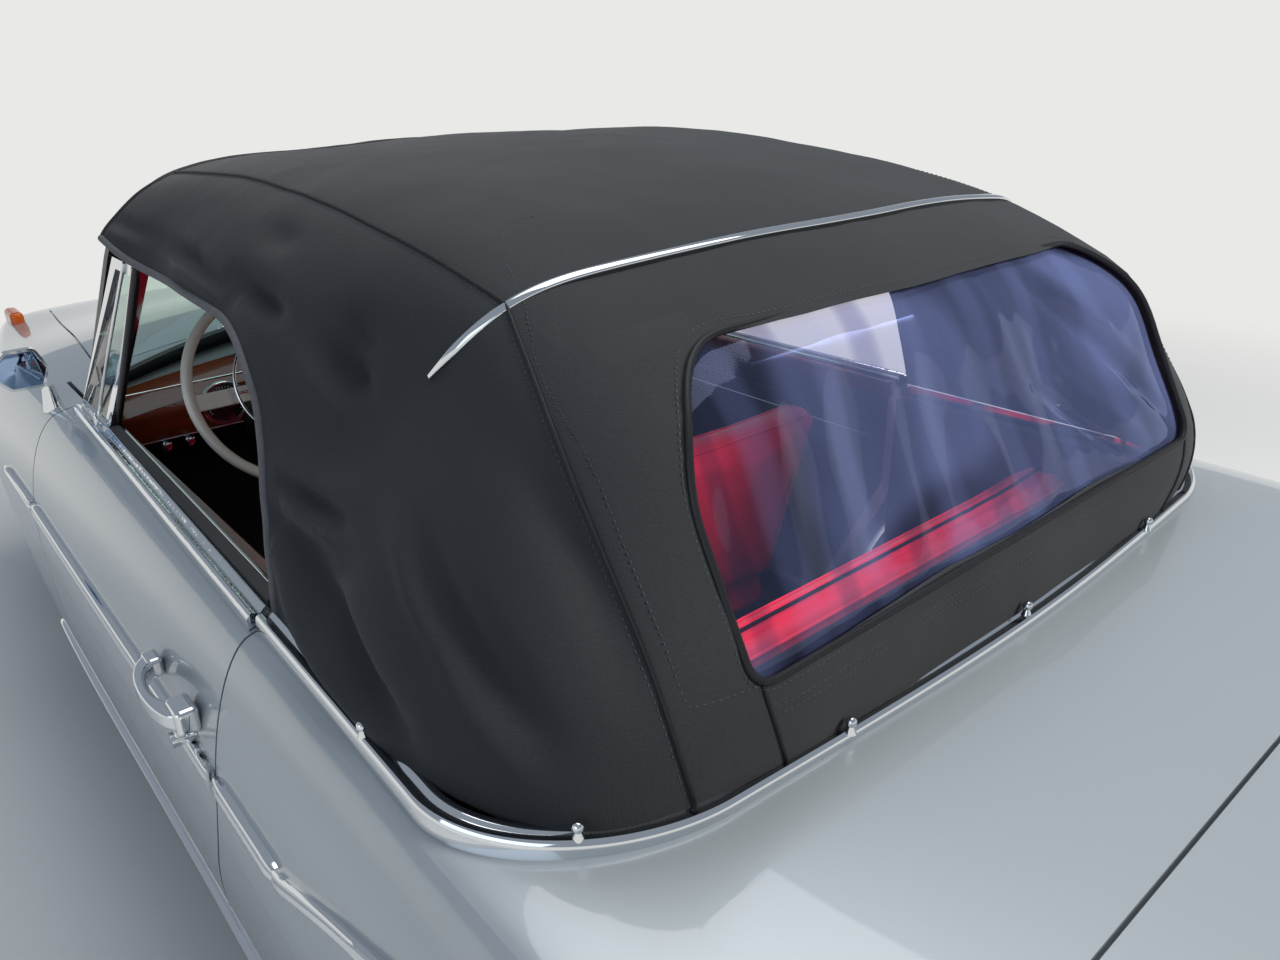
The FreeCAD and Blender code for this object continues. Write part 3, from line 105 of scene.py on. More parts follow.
enamel, place = new_material("silver_grey_enamel")
peel = add_node(enamel, "TexNoise", {}, {"Vector": place, "Scale": 1 / ORANGE_PEEL, "Detail": 1.0})
peel_bump = add_node(enamel, "Bump", {}, {"Height": peel.outputs["Fac"], "Strength": 0.05, "Distance": 0.1 * MM})
cloud = add_node(enamel, "TexNoise", {}, {"Vector": place, "Scale": 1.4, "Detail": 2.0})
tone = add_node(enamel, "Mix", {"data_type": "RGBA"}, {
    0: cloud.outputs["Fac"], 6: from_hex("#A0A8AC"), 7: from_hex("#A8B0B4")})
shader = add_node(enamel, "BsdfPrincipled", {}, {
    "Base Color": tone.outputs[2], "Metallic": 0.35, "Roughness": 0.32, "Coat Weight": 1.0, "Coat Roughness": 0.03,
    "Normal": peel_bump.outputs["Normal"]})
add_node(enamel, "OutputMaterial", {}, {"Surface": shader.outputs[0]})
give(enamel, "nose_panel", "wing_left", "wing_right", "hood", "door_left", "door_right", "quarter_left",
     "quarter_right", "deck_panel", "tail_panel", "trunk_lid", "cowl")

# Underbody: the floor, the wheel houses and the inner sides, sprayed in matt black underseal.
give(toned("black_underseal", ("#161616", "#232221"), 220.0, detail=4.0, bump=(0.6, 1), Roughness=0.85),
     "floor_pan", "wheel_houses", "fuel_tank", "front_subframe", "tow_eyes")

# Running gear: cast and forged iron, dark with a film of oil and road dust, and a dull steel exhaust.
give(toned("oily_cast_iron", ("#2A2926", "#4A463F"), 60.0, detail=5.0, bump=(0.4, 0.5), Metallic=0.6, Roughness=0.6),
     "engine_block", "knuckle_left", "knuckle_right", "rear_axle", "exhaust_system")


# Chrome: brass and steel pressings, plated and polished. It mirrors what is round it, with
# faint wipe marks that show as a change in the gloss.
def plated(material, wipe, tint="#DFE2E4", least=0.03, most=0.11):
    gloss = add_node(material, "MapRange", {}, {0: wipe.outputs["Fac"], 3: least, 4: most})
    return add_node(material, "BsdfPrincipled", {}, {
        "Base Color": from_hex(tint), "Metallic": 1.0, "Roughness": gloss.outputs[0]})


chrome, place = new_material("chrome_plate")
wipe = add_node(chrome, "TexNoise", {}, {"Vector": place, "Scale": 14.0, "Detail": 3.0})
add_node(chrome, "OutputMaterial", {}, {"Surface": plated(chrome, wipe).outputs[0]})
give(chrome, "grille", "bumper_front", "bumper_rear", "mirrors", "side_strips",
     "door_trim_left", "door_trim_right", "headlamps")

# Windscreen frame: plated outside, and capped inside with black enamelled steel.
frame_finish, place = new_material("plated_frame_black_inside")
facing = add_node(frame_finish, "SeparateXYZ", {}, {0: add_node(frame_finish, "NewGeometry", {}, {}).outputs["Normal"]})
inside = add_node(frame_finish, "Math", {"operation": "LESS_THAN"}, {0: facing.outputs["X"], 1: 0.1})
wipe = add_node(frame_finish, "TexNoise", {}, {"Vector": place, "Scale": 14.0, "Detail": 3.0})
tone = add_node(frame_finish, "Mix", {"data_type": "RGBA"}, {
    0: wipe.outputs["Fac"], 6: from_hex("#0B0B0C"), 7: from_hex("#161617")})
capped = add_node(frame_finish, "BsdfPrincipled", {}, {"Base Color": tone.outputs[2], "Roughness": 0.4})
shader = add_node(frame_finish, "MixShader", {}, {
    0: inside.outputs[0], 1: plated(frame_finish, wipe).outputs[0], 2: capped.outputs[0]})
add_node(frame_finish, "OutputMaterial", {}, {"Surface": shader.outputs[0]})
give(frame_finish, "windscreen_frame")


# Window glass: clear toughened glass with a faint green edge. Only its outer face mirrors.
def glazed(material, through, gloss, edge_on):
    inner_face = add_node(material, "NewGeometry", {}, {}).outputs["Backfacing"]
    outer_face = add_node(material, "Math", {"operation": "SUBTRACT"}, {0: 1.0, 1: inner_face})
    share = add_node(material, "Math", {"operation": "MULTIPLY"}, {0: edge_on.outputs[0], 1: outer_face.outputs[0]})
    shader = add_node(material, "MixShader", {}, {0: share.outputs[0], 1: through.outputs[0], 2: gloss.outputs[0]})
    add_node(material, "OutputMaterial", {}, {"Surface": shader.outputs[0]})


glass, place = new_material("window_glass")
glazed(glass, add_node(glass, "BsdfTransparent", {}, {"Color": from_hex("#E6F0EC")}),
       add_node(glass, "BsdfGlossy", {}, {"Color": from_hex("#FFFFFF"), "Roughness": 0.02}),
       add_node(glass, "Fresnel", {}, {"IOR": 1.5}))
give(glass, "windscreen_glass", "vent_glass_left", "vent_glass_right")

# Soft-top: black canvas sewn in three panels and pulled over the header rail, the bows and
# the belt rail. It is a smooth skin through the places where the cloth lies on its frame,
# with loose folds in the quarters where it is slack.
TOP_MIDDLE = np.array((-0.25, 0.0, 1.0))
TOP_REACH = np.array((0.80, 0.72, 0.50))
FOOT_HEIGHT = 927
BOW_POINTS = [
    # x, y, z on the left half in millimetres: the roof's middle line
    (500, 0, 1465), (220, 0, 1490), (-85, 0, 1499), (-320, 0, 1489), (-560, 0, 1458), (-765, 0, 1412),
    # halfway to the seam, and the seam
    (485, 270, 1458), (200, 270, 1482), (-85, 270, 1490), (-330, 270, 1478), (-560, 270, 1450), (-757, 266, 1407),
    (443, 520, 1441), (240, 520, 1453), (39, 520, 1459), (-262, 520, 1443), (-514, 520, 1412), (-708, 525, 1379),
    # the edge round the side window
    (442, 676, 1336), (277, 660, 1303), (35, 665, 1301), (-184, 670, 1291), (-266, 680, 1264), (-315, 690, 1211),
    (-358, 710, 1130), (-372, 728, 1030), (-376, 740, 934),
    # the rear bow
    (-740, 425, 1395), (-660, 575, 1330), (-625, 592, 1289),
    # the rear panel from its top to the belt: middle, halfway and beside the window
    (-900, 0, 1352), (-953, 0, 1290), (-1000, 0, 1187), (-1045, 0, 1115), (-1080, 0, 1053), (-1090, 0, 934),
    (-897, 300, 1350), (-950, 300, 1290), (-1002, 300, 1187), (-1078, 300, 1053), (-1088, 300, 934),
    (-870, 470, 1340), (-945, 500, 1290), (-1008, 510, 1187), (-1078, 500, 1053), (-1068, 545, 934),
    # the belt round the rear corner
    (-1050, 617, 934), (-1015, 680, 934), (-925, 732, 934), (-761, 768, 934), (-564, 762, 934),
]


def seen_from_middle(points):
    """Unit headings and distances of points in metres, from the middle of the top, with the top scaled to a ball."""
    offset = (np.asarray(points, float) - TOP_MIDDLE) / TOP_REACH
    distance = np.linalg.norm(offset, axis=1)
    return offset / distance[:, None], distance


def cubes(some, others):
    return np.linalg.norm(some[:, None, :] - others[None, :, :], axis=2) ** 3


both_halves = [(x, side * y, z) for x, y, z in BOW_POINTS for side in (1, -1) if y or side > 0]
pins, pin_reach = seen_from_middle(np.array(both_halves) * MM)
plane = np.hstack([np.ones((len(pins), 1)), pins])
springs = np.block([[cubes(pins, pins), plane], [plane.T, np.zeros((4, 4))]])
tensions = np.linalg.solve(springs, np.concatenate([pin_reach, np.zeros(4)]))


def tight_skin(headings):
    """The smoothest skin through the bow points, in metres, along each heading."""
    reach = cubes(headings, pins) @ tensions[:len(pins)] + tensions[len(pins)] + headings @ tensions[len(pins) + 1:]
    return TOP_MIDDLE + TOP_REACH * headings * reach[:, None]


def unit(vectors):
    return vectors / np.linalg.norm(vectors, axis=1)[:, None]


def outward_at(headings):
    """The skin's outward direction along each heading."""
    sideways = unit(np.cross(headings, (0.31, 0.2, 0.93)))
    step = 0.004
    here = tight_skin(headings)
    normal = unit(np.cross(*[tight_skin(unit(headings + step * turn)) - here
                             for turn in (sideways, np.cross(headings, sideways))]))
    return normal * np.sign(np.sum(normal * headings, axis=1))[:, None]


# Folds: middle lines of the slack in the cloth, in millimetres, with the fold's half width and
# its depth, inwards below zero
FOLDS = [
    (((-758, 686, 1153), (-820, 702, 1119), (-897, 706, 1081), (-978, 693, 1031)), 26, -9),
    (((-715, 690, 1150), (-790, 712, 1100), (-870, 722, 1060), (-950, 712, 1010)), 24, 6),
    (((-743, 719, 1107), (-829, 730, 1069), (-900, 727, 1040)), 22, -5),
    (((-858, 606, 1246), (-944, 612, 1182), (-1026, 615, 1076)), 24, -4),
    (((-416, 723, 1069), (-628, 748, 1039), (-739, 764, 994), (-805, 761, 978)), 24, -11),
    (((-420, 735, 1020), (-600, 757, 985), (-760, 768, 960)), 22, 9),
    (((-416, 707, 1125), (-500, 706, 1126), (-596, 703, 1128)), 17, -7),
    (((-420, 712, 1150), (-510, 706, 1152), (-610, 692, 1155)), 18, 5),
    (((-459, 724, 1073), (-560, 726, 1078), (-644, 728, 1088)), 18, -6),
    (((-440, 722, 1098), (-540, 722, 1102), (-620, 718, 1106)), 16, 5),
    (((-430, 629, 1288), (-504, 620, 1266)), 26, -6),
    (((-380, 650, 1270), (-470, 640, 1240), (-540, 640, 1215)), 28, 5),
    (((-153, 640, 1350), (-230, 640, 1338), (-307, 640, 1325)), 20, -7),
    (((414, 644, 1366), (200, 642, 1360), (9, 642, 1351), (-186, 655, 1323)), 15, -5),
    (((420, 662, 1350), (200, 655, 1338), (9, 655, 1330), (-150, 660, 1318)), 12, 5),
    (((-175, 586, 1410), (-275, 584, 1400)), 24, -3),
    (((-233, 642, 1338), (-332, 639, 1319)), 18, -5),
    (((-455, 605, 1322), (-520, 599, 1308)), 22, -5),
    (((-470, 627, 1271), (-522, 621, 1255)), 22, -6),
    (((-761, 601, 1274), (-837, 603, 1257)), 40, -2),
]
SLACK = 2.7
UNEVENNESS = ((1.8, 9), (0.8, 21))


def fold_lift(points, stops, width):
    """How far a fold of depth one lifts each point: most along its middle line, less at its ends."""
    nearest, along = np.full(len(points), 1e6), np.zeros(len(points))
    for i, (a, b) in enumerate(zip(stops, stops[1:])):
        share = np.clip((points - a) @ (b - a) / np.sum((b - a) ** 2), 0, 1)
        away = np.linalg.norm(points - a - share[:, None] * (b - a), axis=1)
        along = np.where(away < nearest, (i + share) / (len(stops) - 1), along)
        nearest = np.minimum(away, nearest)
    return (0.35 + 0.65 * np.sin(math.pi * along)) * np.exp(-(nearest / width) ** 2)


def cloth(points):
    """The points of the cloth nearest to these, seen from the middle of the top, and its outward directions."""
    headings, _ = seen_from_middle(points)
    skin = tight_skin(headings)
    outward = outward_at(headings)
    lift = np.array([sum(high * noise.noise(Vector(p) * scale) for high, scale in UNEVENNESS) for p in skin])
    for line, width, depth in FOLDS:
        for side, own in ((1, 1.0), (-1, 0.8)):
            lift += own * SLACK * depth * fold_lift(skin / MM, np.array(line, float) * (1, side, 1), width)
    return skin + outward * lift[:, None] * MM, outward


def evenly(points, count):
    steps = np.concatenate([[0], np.cumsum(np.linalg.norm(np.diff(points, axis=0), axis=1))])
    wanted = np.linspace(0, steps[-1], count)
    return np.stack([np.interp(wanted, steps, points[:, i]) for i in range(3)], axis=1)


def smooth_line(corners, count):
    """Evenly spaced points in metres on a smooth curve through the corners in millimetres."""
    corners = np.asarray(corners, float) * MM
    ends = np.vstack([2 * corners[0] - corners[1], corners, 2 * corners[-1] - corners[-2]])
    fine = []
    for before, start, stop, after in zip(ends, ends[1:], ends[2:], ends[3:]):
        for u in np.linspace(0, 1, 24, endpoint=False):
            fine.append(0.5 * (2 * start + (stop - before) * u + (2 * before - 5 * start + 4 * stop - after) * u ** 2
                               + (3 * start - before - 3 * stop + after) * u ** 3))
    return evenly(np.array(fine + [corners[-1]]), count)


# The belt line in plan: sides that flare to the rear and round rear corners
BELT_FRONT, BELT_FRONT_HALF, BELT_HALF, BELT_REAR, BELT_CORNER = 825, 724, 772, -1100, 235


def bezier_run(poles, count=40):
    u = np.linspace(0, 1, count)[:, None]
    a, b, c, d = [np.array(pole, float) for pole in poles]
    return a * (1 - u) ** 3 + 3 * b * u * (1 - u) ** 2 + 3 * c * u ** 2 * (1 - u) + d * u ** 3


def belt_line(grow, front, height):
    """The belt from a place on the left side round the rear to the same place on the right, in metres."""
    rear, half, hook = BELT_REAR - grow, BELT_HALF + grow, 0.48 * BELT_CORNER
    side_end = np.array((rear + BELT_CORNER, half))
    corner_end = np.array((rear + 0.1 * BELT_CORNER, half - BELT_CORNER))
    share = (front - side_end[0]) / (BELT_FRONT - side_end[0])
    side_start = np.array((front, half + share * (BELT_FRONT_HALF - BELT_HALF)))
    left = [side_start + (side_end - side_start) * u for u in np.linspace(0, 1, 30)]
    left += list(bezier_run((side_end, side_end - (hook, 0), corner_end + (0.03 * BELT_CORNER, hook), corner_end))[1:])
    left += list(bezier_run((corner_end, corner_end - (0.03 * BELT_CORNER, hook), (rear, 200), (rear, 0)))[1:])
    plan = [(x, y, height) for x, y in left] + [(x, -y, height) for x, y in left[-2::-1]]
    return np.array(plan) * MM


def both_sides(half):
    """A line from the left to the middle, carried on to the right."""
    return np.vstack([half, np.array(half[-2::-1]) * (1, -1, 1)])


TOP_ROWS, TOP_COLUMNS = 190, 230
TOP_REAR_X = -402
HEADER_LINE = [(442, 676, 1336), (440, 615, 1398), (448, 520, 1441), (478, 280, 1457), (500, 0, 1465)]
OPENING_LINE = [(442, 676, 1336), (277, 660, 1303), (35, 665, 1301), (-110, 667, 1297), (-184, 670, 1289),
                (-240, 675, 1272), (-285, 685, 1243), (-325, 694, 1197), (-358, 710, 1130), (-382, 728, 1030),
                (TOP_REAR_X, 744, FOOT_HEIGHT)]


def bearings(points):
    """Each point as two angles: round the line across the car, and out to the side."""
    ahead, aside, up = seen_from_middle(points)[0].T
    return np.stack([np.mod(np.arctan2(up, ahead), 2 * math.pi), np.arcsin(aside)], axis=1)


header_edge = smooth_line(both_sides(HEADER_LINE), TOP_COLUMNS)
foot_edge = belt_line(-17, TOP_REAR_X, FOOT_HEIGHT)
opening_edge = smooth_line(OPENING_LINE[:-1] + [foot_edge[0] / MM], TOP_ROWS)
top_side, rear_side = bearings(header_edge), bearings(evenly(foot_edge, TOP_COLUMNS))
left_side, right_side = bearings(opening_edge), bearings(opening_edge * (1, -1, 1))
down = np.linspace(0, 1, TOP_ROWS)[:, None, None]
over = np.linspace(0, 1, TOP_COLUMNS)[None, :, None]
angles = ((1 - down) * top_side[None] + down * rear_side[None] + (1 - over) * left_side[:, None]
          + over * right_side[:, None] - (1 - down) * (1 - over) * left_side[0] - (1 - down) * over * right_side[0]
          - down * (1 - over) * left_side[-1] - down * over * right_side[-1]).reshape(-1, 2)
round_way, side_way = angles.T
top_headings = np.stack([np.cos(side_way) * np.cos(round_way), np.sin(side_way),
                         np.cos(side_way) * np.sin(round_way)], axis=1)
top_points, _ = cloth(TOP_MIDDLE + TOP_REACH * top_headings)


def new_piece(name, points, faces):
    mesh = bpy.data.meshes.new(name)
    mesh.from_pydata([tuple(p) for p in points], [], faces)
    mesh.update()
    piece = bpy.data.objects.new(name, mesh)
    bpy.context.scene.collection.objects.link(piece)
    return piece


def grid_faces(rows, columns):
    return [(r * columns + c, (r + 1) * columns + c, (r + 1) * columns + c + 1, r * columns + c + 1)
            for r in range(rows - 1) for c in range(columns - 1)]


def select_only(piece):
    bpy.ops.object.select_all(action="DESELECT")
    piece.select_set(True)
    bpy.context.view_layer.objects.active = piece


def edit_all(piece):
    """Opens the piece in edit mode with all of it selected."""
    select_only(piece)
    bpy.ops.object.mode_set(mode="EDIT")
    bpy.ops.mesh.select_all(action="SELECT")


def close_edit():
    """Turns the selected faces outwards and leaves edit mode."""
    bpy.ops.mesh.normals_make_consistent(inside=False)
    bpy.ops.object.mode_set(mode="OBJECT")


def apply_modifier(piece, kind, **settings):
    select_only(piece)
    modifier = piece.modifiers.new(kind.lower(), kind)
    for name, value in settings.items():
        setattr(modifier, name, value)
    bpy.ops.object.modifier_apply(modifier=modifier.name)


def smooth(piece, angle=35):
    select_only(piece)
    bpy.ops.object.shade_smooth_by_angle(angle=math.radians(angle))


def finish(piece, angle, material, body="root"):
    """Shades the piece smooth below the angle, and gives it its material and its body."""
    smooth(piece, angle)
    piece.data.materials.append(material)
    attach(piece, body)
    return piece


SEAM_HALF, ROOF_FOOT, CLOTH = 0.522, 1.35, 4 * MM
soft_top = new_piece("canvas_top", top_points, grid_faces(TOP_ROWS, TOP_COLUMNS))
weave_map = soft_top.data.uv_layers.new(name="weave")
for polygon in soft_top.data.polygons:
    sewn_side = abs(polygon.center.y) > SEAM_HALF
    for loop in polygon.loop_indices:
        spot = soft_top.data.vertices[soft_top.data.loops[loop].vertex_index].co
        along = spot.x if spot.z > ROOF_FOOT else -spot.z
        weave_map.data[loop].uv = (spot.x, spot.z) if sewn_side else (spot.y, along)
apply_modifier(soft_top, "SOLIDIFY", thickness=CLOTH, offset=-1.0)

# The rear panel's window: straight sides, a low straight edge and round upper corners
PANE_HALF, PANE_LOW, PANE_HIGH = 505, 1053, 1350
PANE_TOP_CORNER, PANE_FOOT_CORNER = 150, 26
PANEL_RAKE = ((0.93, 1.053, 1.19, 1.29, 1.35), (-1.09, -1.08, -1.0, -0.95, -0.9))


def pane_outline(grow, per_corner=12):
    """The window seen from behind, as (y, z) in millimetres, anticlockwise from the lower right."""
    outline = []
    for y_side, z_side, start, radius in ((1, -1, -90, PANE_FOOT_CORNER), (1, 1, 0, PANE_TOP_CORNER),
                                          (-1, 1, 90, PANE_TOP_CORNER), (-1, -1, 180, PANE_FOOT_CORNER)):
        radius += grow
        middle_y = y_side * (PANE_HALF + grow - radius)
        middle_z = PANE_HIGH + grow - radius if z_side > 0 else PANE_LOW - grow + radius
        for turn in np.radians(start + 90 * np.arange(per_corner + 1) / per_corner):
            outline.append((middle_y + radius * math.cos(turn), middle_z + radius * math.sin(turn)))
    return outline


def rear_panel_at(places):
    """Points of the cloth at places given as (y, z) in millimetres seen from behind."""
    wanted = np.array([(-1.0, y * MM, z * MM) for y, z in places])
    wanted[:, 0] = np.interp(wanted[:, 2], *PANEL_RAKE)
    guess = wanted.copy()
    for _ in range(6):
        found = tight_skin(seen_from_middle(guess)[0])
        guess[:, 1:] += wanted[:, 1:] - found[:, 1:]
        guess[:, 0] = found[:, 0]
    headings, _ = seen_from_middle(guess)
    return tight_skin(headings), outward_at(headings)


def prism(name, outline, ends, place_of):
    """A closed block between two ends, its outline set at each end by place_of(end, a, b)."""
    count = len(outline)
    faces = [tuple(range(count)), tuple(range(2 * count - 1, count - 1, -1))]
    faces += [(i, count + i, count + (i + 1) % count, (i + 1) % count) for i in range(count)]
    return new_piece(name, [place_of(end, a, b) for end in ends for a, b in outline], faces)


cutter = prism("pane_cutter", pane_outline(0), (-1.25, -0.80), lambda x, y, z: (x, y * MM, z * MM))
edit_all(cutter)
close_edit()
apply_modifier(soft_top, "BOOLEAN", operation="DIFFERENCE", object=cutter, solver="EXACT")
bpy.data.objects.remove(cutter)

# Canvas: its threads are 0.6 mm apart, too fine to show from two metres, so the weave is drawn at 2.4 mm
# (a wave texture of scale 0.31416 repeats once a metre)
THREAD, WAVE_SCALE = 2.4 * MM, 0.31416
canvas, place = new_material("black_canvas")
weave_uv = add_node(canvas, "UVMap", {"uv_map": "weave"}, {}).outputs[0]
warp, weft = [add_node(canvas, "TexWave", {"bands_direction": way}, {
    "Vector": weave_uv, "Scale": WAVE_SCALE / THREAD, "Distortion": 0.4, "Detail": 1.0}) for way in "XY"]
threads = add_node(canvas, "Math", {"operation": "MULTIPLY"}, {0: warp.outputs["Fac"], 1: weft.outputs["Fac"]})
nap = add_node(canvas, "TexNoise", {}, {"Vector": weave_uv, "Scale": 420.0, "Detail": 3.0})
fade = add_node(canvas, "TexNoise", {}, {"Vector": place, "Scale": 2.2, "Detail": 4.0})
speckle = add_node(canvas, "Math", {"operation": "MULTIPLY_ADD"}, {0: nap.outputs["Fac"], 1: 0.6, 2: -0.1})
worn = add_node(canvas, "Math", {"operation": "MULTIPLY_ADD"}, {0: fade.outputs["Fac"], 1: 0.5, 2: speckle.outputs[0]})
relief = add_node(canvas, "Math", {"operation": "ADD"}, {0: threads.outputs[0], 1: nap.outputs["Fac"]})
weave_bump = add_node(canvas, "Bump", {}, {"Height": relief.outputs[0], "Strength": 0.35, "Distance": 0.5 * MM})
tone = add_node(canvas, "Mix", {"data_type": "RGBA"}, {
    0: worn.outputs[0], 6: from_hex("#26282A"), 7: from_hex("#3D3F42")})
shader = add_node(canvas, "BsdfPrincipled", {}, {
    "Base Color": tone.outputs[2], "Roughness": 0.92, "Sheen Weight": 0.1, "Sheen Roughness": 0.4,
    "Specular IOR Level": 0.2, "Normal": weave_bump.outputs["Normal"]})
add_node(canvas, "OutputMaterial", {}, {"Surface": shader.outputs[0]})
finish(soft_top, 50, canvas)
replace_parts(soft_top, "soft_top")

# Piping: rolled binding in the same cloth, near black, sewn into each seam and round each edge.
# Laid in the bench's groove and under its roll, the same near-black cloth is painted shade.
piping_and_painted_shade = toned("piping_and_painted_shade", ("#0B0B0C", "#18181A"), 160.0, detail=3.0, bump=(0.3, 0.3), Roughness=0.55)
binding = toned("edge_binding", ("#4A4B4D", "#65666A"), 120.0, detail=3.0, Roughness=0.7)


def swept(name, points, radius=0.0, material=chrome, slot="chrome", profile=None, closed=False, body="root", thin=None):
    """A roll or a moulding along the points: a curve with a round bevel, or with a section as
    (inwards, up), in millimetres, turned into a mesh. thin gives the size at each point."""
    curve = bpy.data.curves.new(name, "CURVE")
    curve.dimensions = "3D"
    curve.bevel_resolution = 2
    curve.use_fill_caps = True
    curve.bevel_depth = radius * MM
    if profile:
        section = bpy.data.curves.new(name + "_section", "CURVE")
        line = section.splines.new("POLY")
        line.points.add(len(profile) - 1)
        for spot, (aside, up) in zip(line.points, profile):
            spot.co = (aside * MM, up * MM, 0, 1)
        line.use_cyclic_u = True
        section_holder = bpy.data.objects.new(name + "_section", section)
        curve.bevel_mode, curve.bevel_object = "OBJECT", section_holder
        curve.twist_mode = "Z_UP"
    spline = curve.splines.new("POLY")
    spline.points.add(len(points) - 1)
    for i, (spot, point) in enumerate(zip(spline.points, points)):
        spot.co = (*point, 1.0)
        spot.radius = thin[i] if thin is not None else 1.0
    spline.use_cyclic_u = closed
    roll = bpy.data.objects.new(name, curve)
    bpy.context.scene.collection.objects.link(roll)
    select_only(roll)
    bpy.ops.object.convert(target="MESH")
    roll = bpy.context.view_layer.objects.active
    roll.name = name
    if profile:
        bpy.data.objects.remove(section_holder)
    edit_all(roll)
    close_edit()
    roll.data.materials.clear()
    return finish(roll, 40 if profile else 60, material, body)


ROOF_SEAM = [(443, 520, 1441), (240, 520, 1453), (39, 520, 1459), (-262, 520, 1443), (-514, 520, 1412),
             (-649, 522, 1389), (-708, 525, 1379)]
REAR_SEAM = [(-708, 525, 1379), (-733, 533, 1364), (-849, 571, 1290), (-951, 592, 1194), (-1035, 597, 1083),
             (-1066, 578, 952), (-1068, 575, FOOT_HEIGHT)]
PANEL_SEAM = [(-1079, 494, 1051), (-1084, 463, 956), (-1086, 456, FOOT_HEIGHT)]
for side, side_name in SIDES:
    for seam_name, corners in (("roof_seam", ROOF_SEAM), ("rear_seam", REAR_SEAM), ("panel_seam", PANEL_SEAM)):
        on_cloth, outward = cloth(smooth_line(np.array(corners) * (1, side, 1), 120))
        swept(f"{seam_name}_{side_name}", on_cloth + outward * 0.6 * MM, 2.3, piping_and_painted_shade, "top_cloth")
    edge, outward = cloth(opening_edge * (1, side, 1))
    swept(f"window_roll_{side_name}", edge - outward * 1 * MM, 7, binding, "top_cloth")
header_roll, outward = cloth(header_edge)
swept("header_roll", header_roll - outward * 2 * MM, 6, piping_and_painted_shade, "top_cloth")
pane_rim, outward = rear_panel_at(pane_outline(2))
pane_rim = evenly(np.vstack([pane_rim, pane_rim[:1]]), 260)[:-1]
swept("pane_roll", pane_rim, 4.5, piping_and_painted_shade, "top_cloth", closed=True)

# Stitches: grey cotton thread, two rows beside the side opening, the rear window and the hem,
# and one beside each seam. A stitch is 5 mm long with 3.4 mm between it and the next.
THREAD_LONG, THREAD_GAP, THREAD_HALF = 5 * MM, 3.4 * MM, 0.55 * MM
thread = toned("grey_cotton_thread", ("#3C3D40", "#5A5B5F"), 900.0, Roughness=0.8)


def stitched(name, line, outward):
    """A row of stitches on the cloth along a line of close points."""
    steps = np.concatenate([[0], np.cumsum(np.linalg.norm(np.diff(line, axis=0), axis=1))])
    points, faces = [], []
    for start in np.arange(0, steps[-1] - THREAD_LONG, THREAD_LONG + THREAD_GAP):
        ends = [np.array([np.interp(at, steps, line[:, i]) for i in range(3)]) for at in (start, start + THREAD_LONG)]
        up = np.array([np.interp(start, steps, outward[:, i]) for i in range(3)])
        run = (ends[1] - ends[0]) / np.linalg.norm(ends[1] - ends[0])
        aside = np.cross(run, up) * THREAD_HALF
        middle = (ends[0] + ends[1]) / 2 + up * THREAD_HALF * 1.4
        faces += [[len(points) + corner for corner in face]
                  for face in ((0, 1, 2), (3, 2, 1), (0, 4, 1), (0, 2, 4), (3, 1, 4), (3, 4, 2))]
        points += [ends[0], middle - aside, middle + aside, ends[1], (ends[0] + ends[1]) / 2 - up * THREAD_HALF]
    finish(new_piece(name, points, faces), 80, thread)


def aside_of(line, distance):
    """The line moved across the cloth by a distance in millimetres."""
    on_cloth, outward = cloth(line)
    return cloth(on_cloth + np.cross(unit(np.gradient(on_cloth, axis=0)), outward) * distance * MM)


for side, side_name in SIDES:
    opening_side = smooth_line(np.array(OPENING_LINE[2:]) * (1, side, 1), 200)
    for row, distance in enumerate((33, 39)):
        stitched(f"opening_stitches_{row}_{side_name}", *aside_of(opening_side, -side * distance))
    for row, corners in enumerate((REAR_SEAM, ROOF_SEAM)):
        seam = smooth_line(np.array(corners) * (1, side, 1), 160)
        stitched(f"seam_stitches_{row}_{side_name}", *aside_of(seam, side * 7))
for row, grow in enumerate((10, 74)):
    outline = np.array(pane_outline(grow))
    outline = np.vstack([outline, outline[:1]])
    if row:
        outline = outline[(outline[:, 1] > PANE_LOW - 5)]
        start = int(np.argmax(np.linalg.norm(np.diff(outline, axis=0), axis=1))) + 1
        outline = np.vstack([outline[start:], outline[:start]])
    full = evenly(np.column_stack([outline, np.zeros(len(outline))]), 500)
    stitched(f"pane_stitches_{row}", *rear_panel_at(full[:, :2]))
for row, height in enumerate((1022, 1012)):
    stitched(f"hem_stitches_{row}", *rear_panel_at([(y, height) for y in np.linspace(470, -470, 240)]))

# Belt moulding: a pressed and plated channel round the rear of the cabin, with two ridges and a
# groove. It clamps the foot of the cloth, and small posts on it take the cover's loops.
MOULDING_LINE = 925
MOULDING_SECTION = [(14, -14), (14, 5), (12.5, 11), (8.5, 14), (4, 13), (-0.5, 9), (-3, 6.5), (-6, 6.5), (-8.5, 8.5),
                    (-13, 9.5), (-18, 8), (-21.5, 4), (-23, -2), (-23, -24)]
belt_moulding = swept("ridged_belt_moulding", belt_line(0, -404, MOULDING_LINE), profile=MOULDING_SECTION)
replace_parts(belt_moulding, "belt_moulding")


def settle(name):
    """Names the active piece, and leaves it where it stands with its object at the origin, unturned."""
    piece = bpy.context.view_layer.objects.active
    piece.name = name
    bpy.ops.object.transform_apply(location=True, rotation=True, scale=True)
    return piece


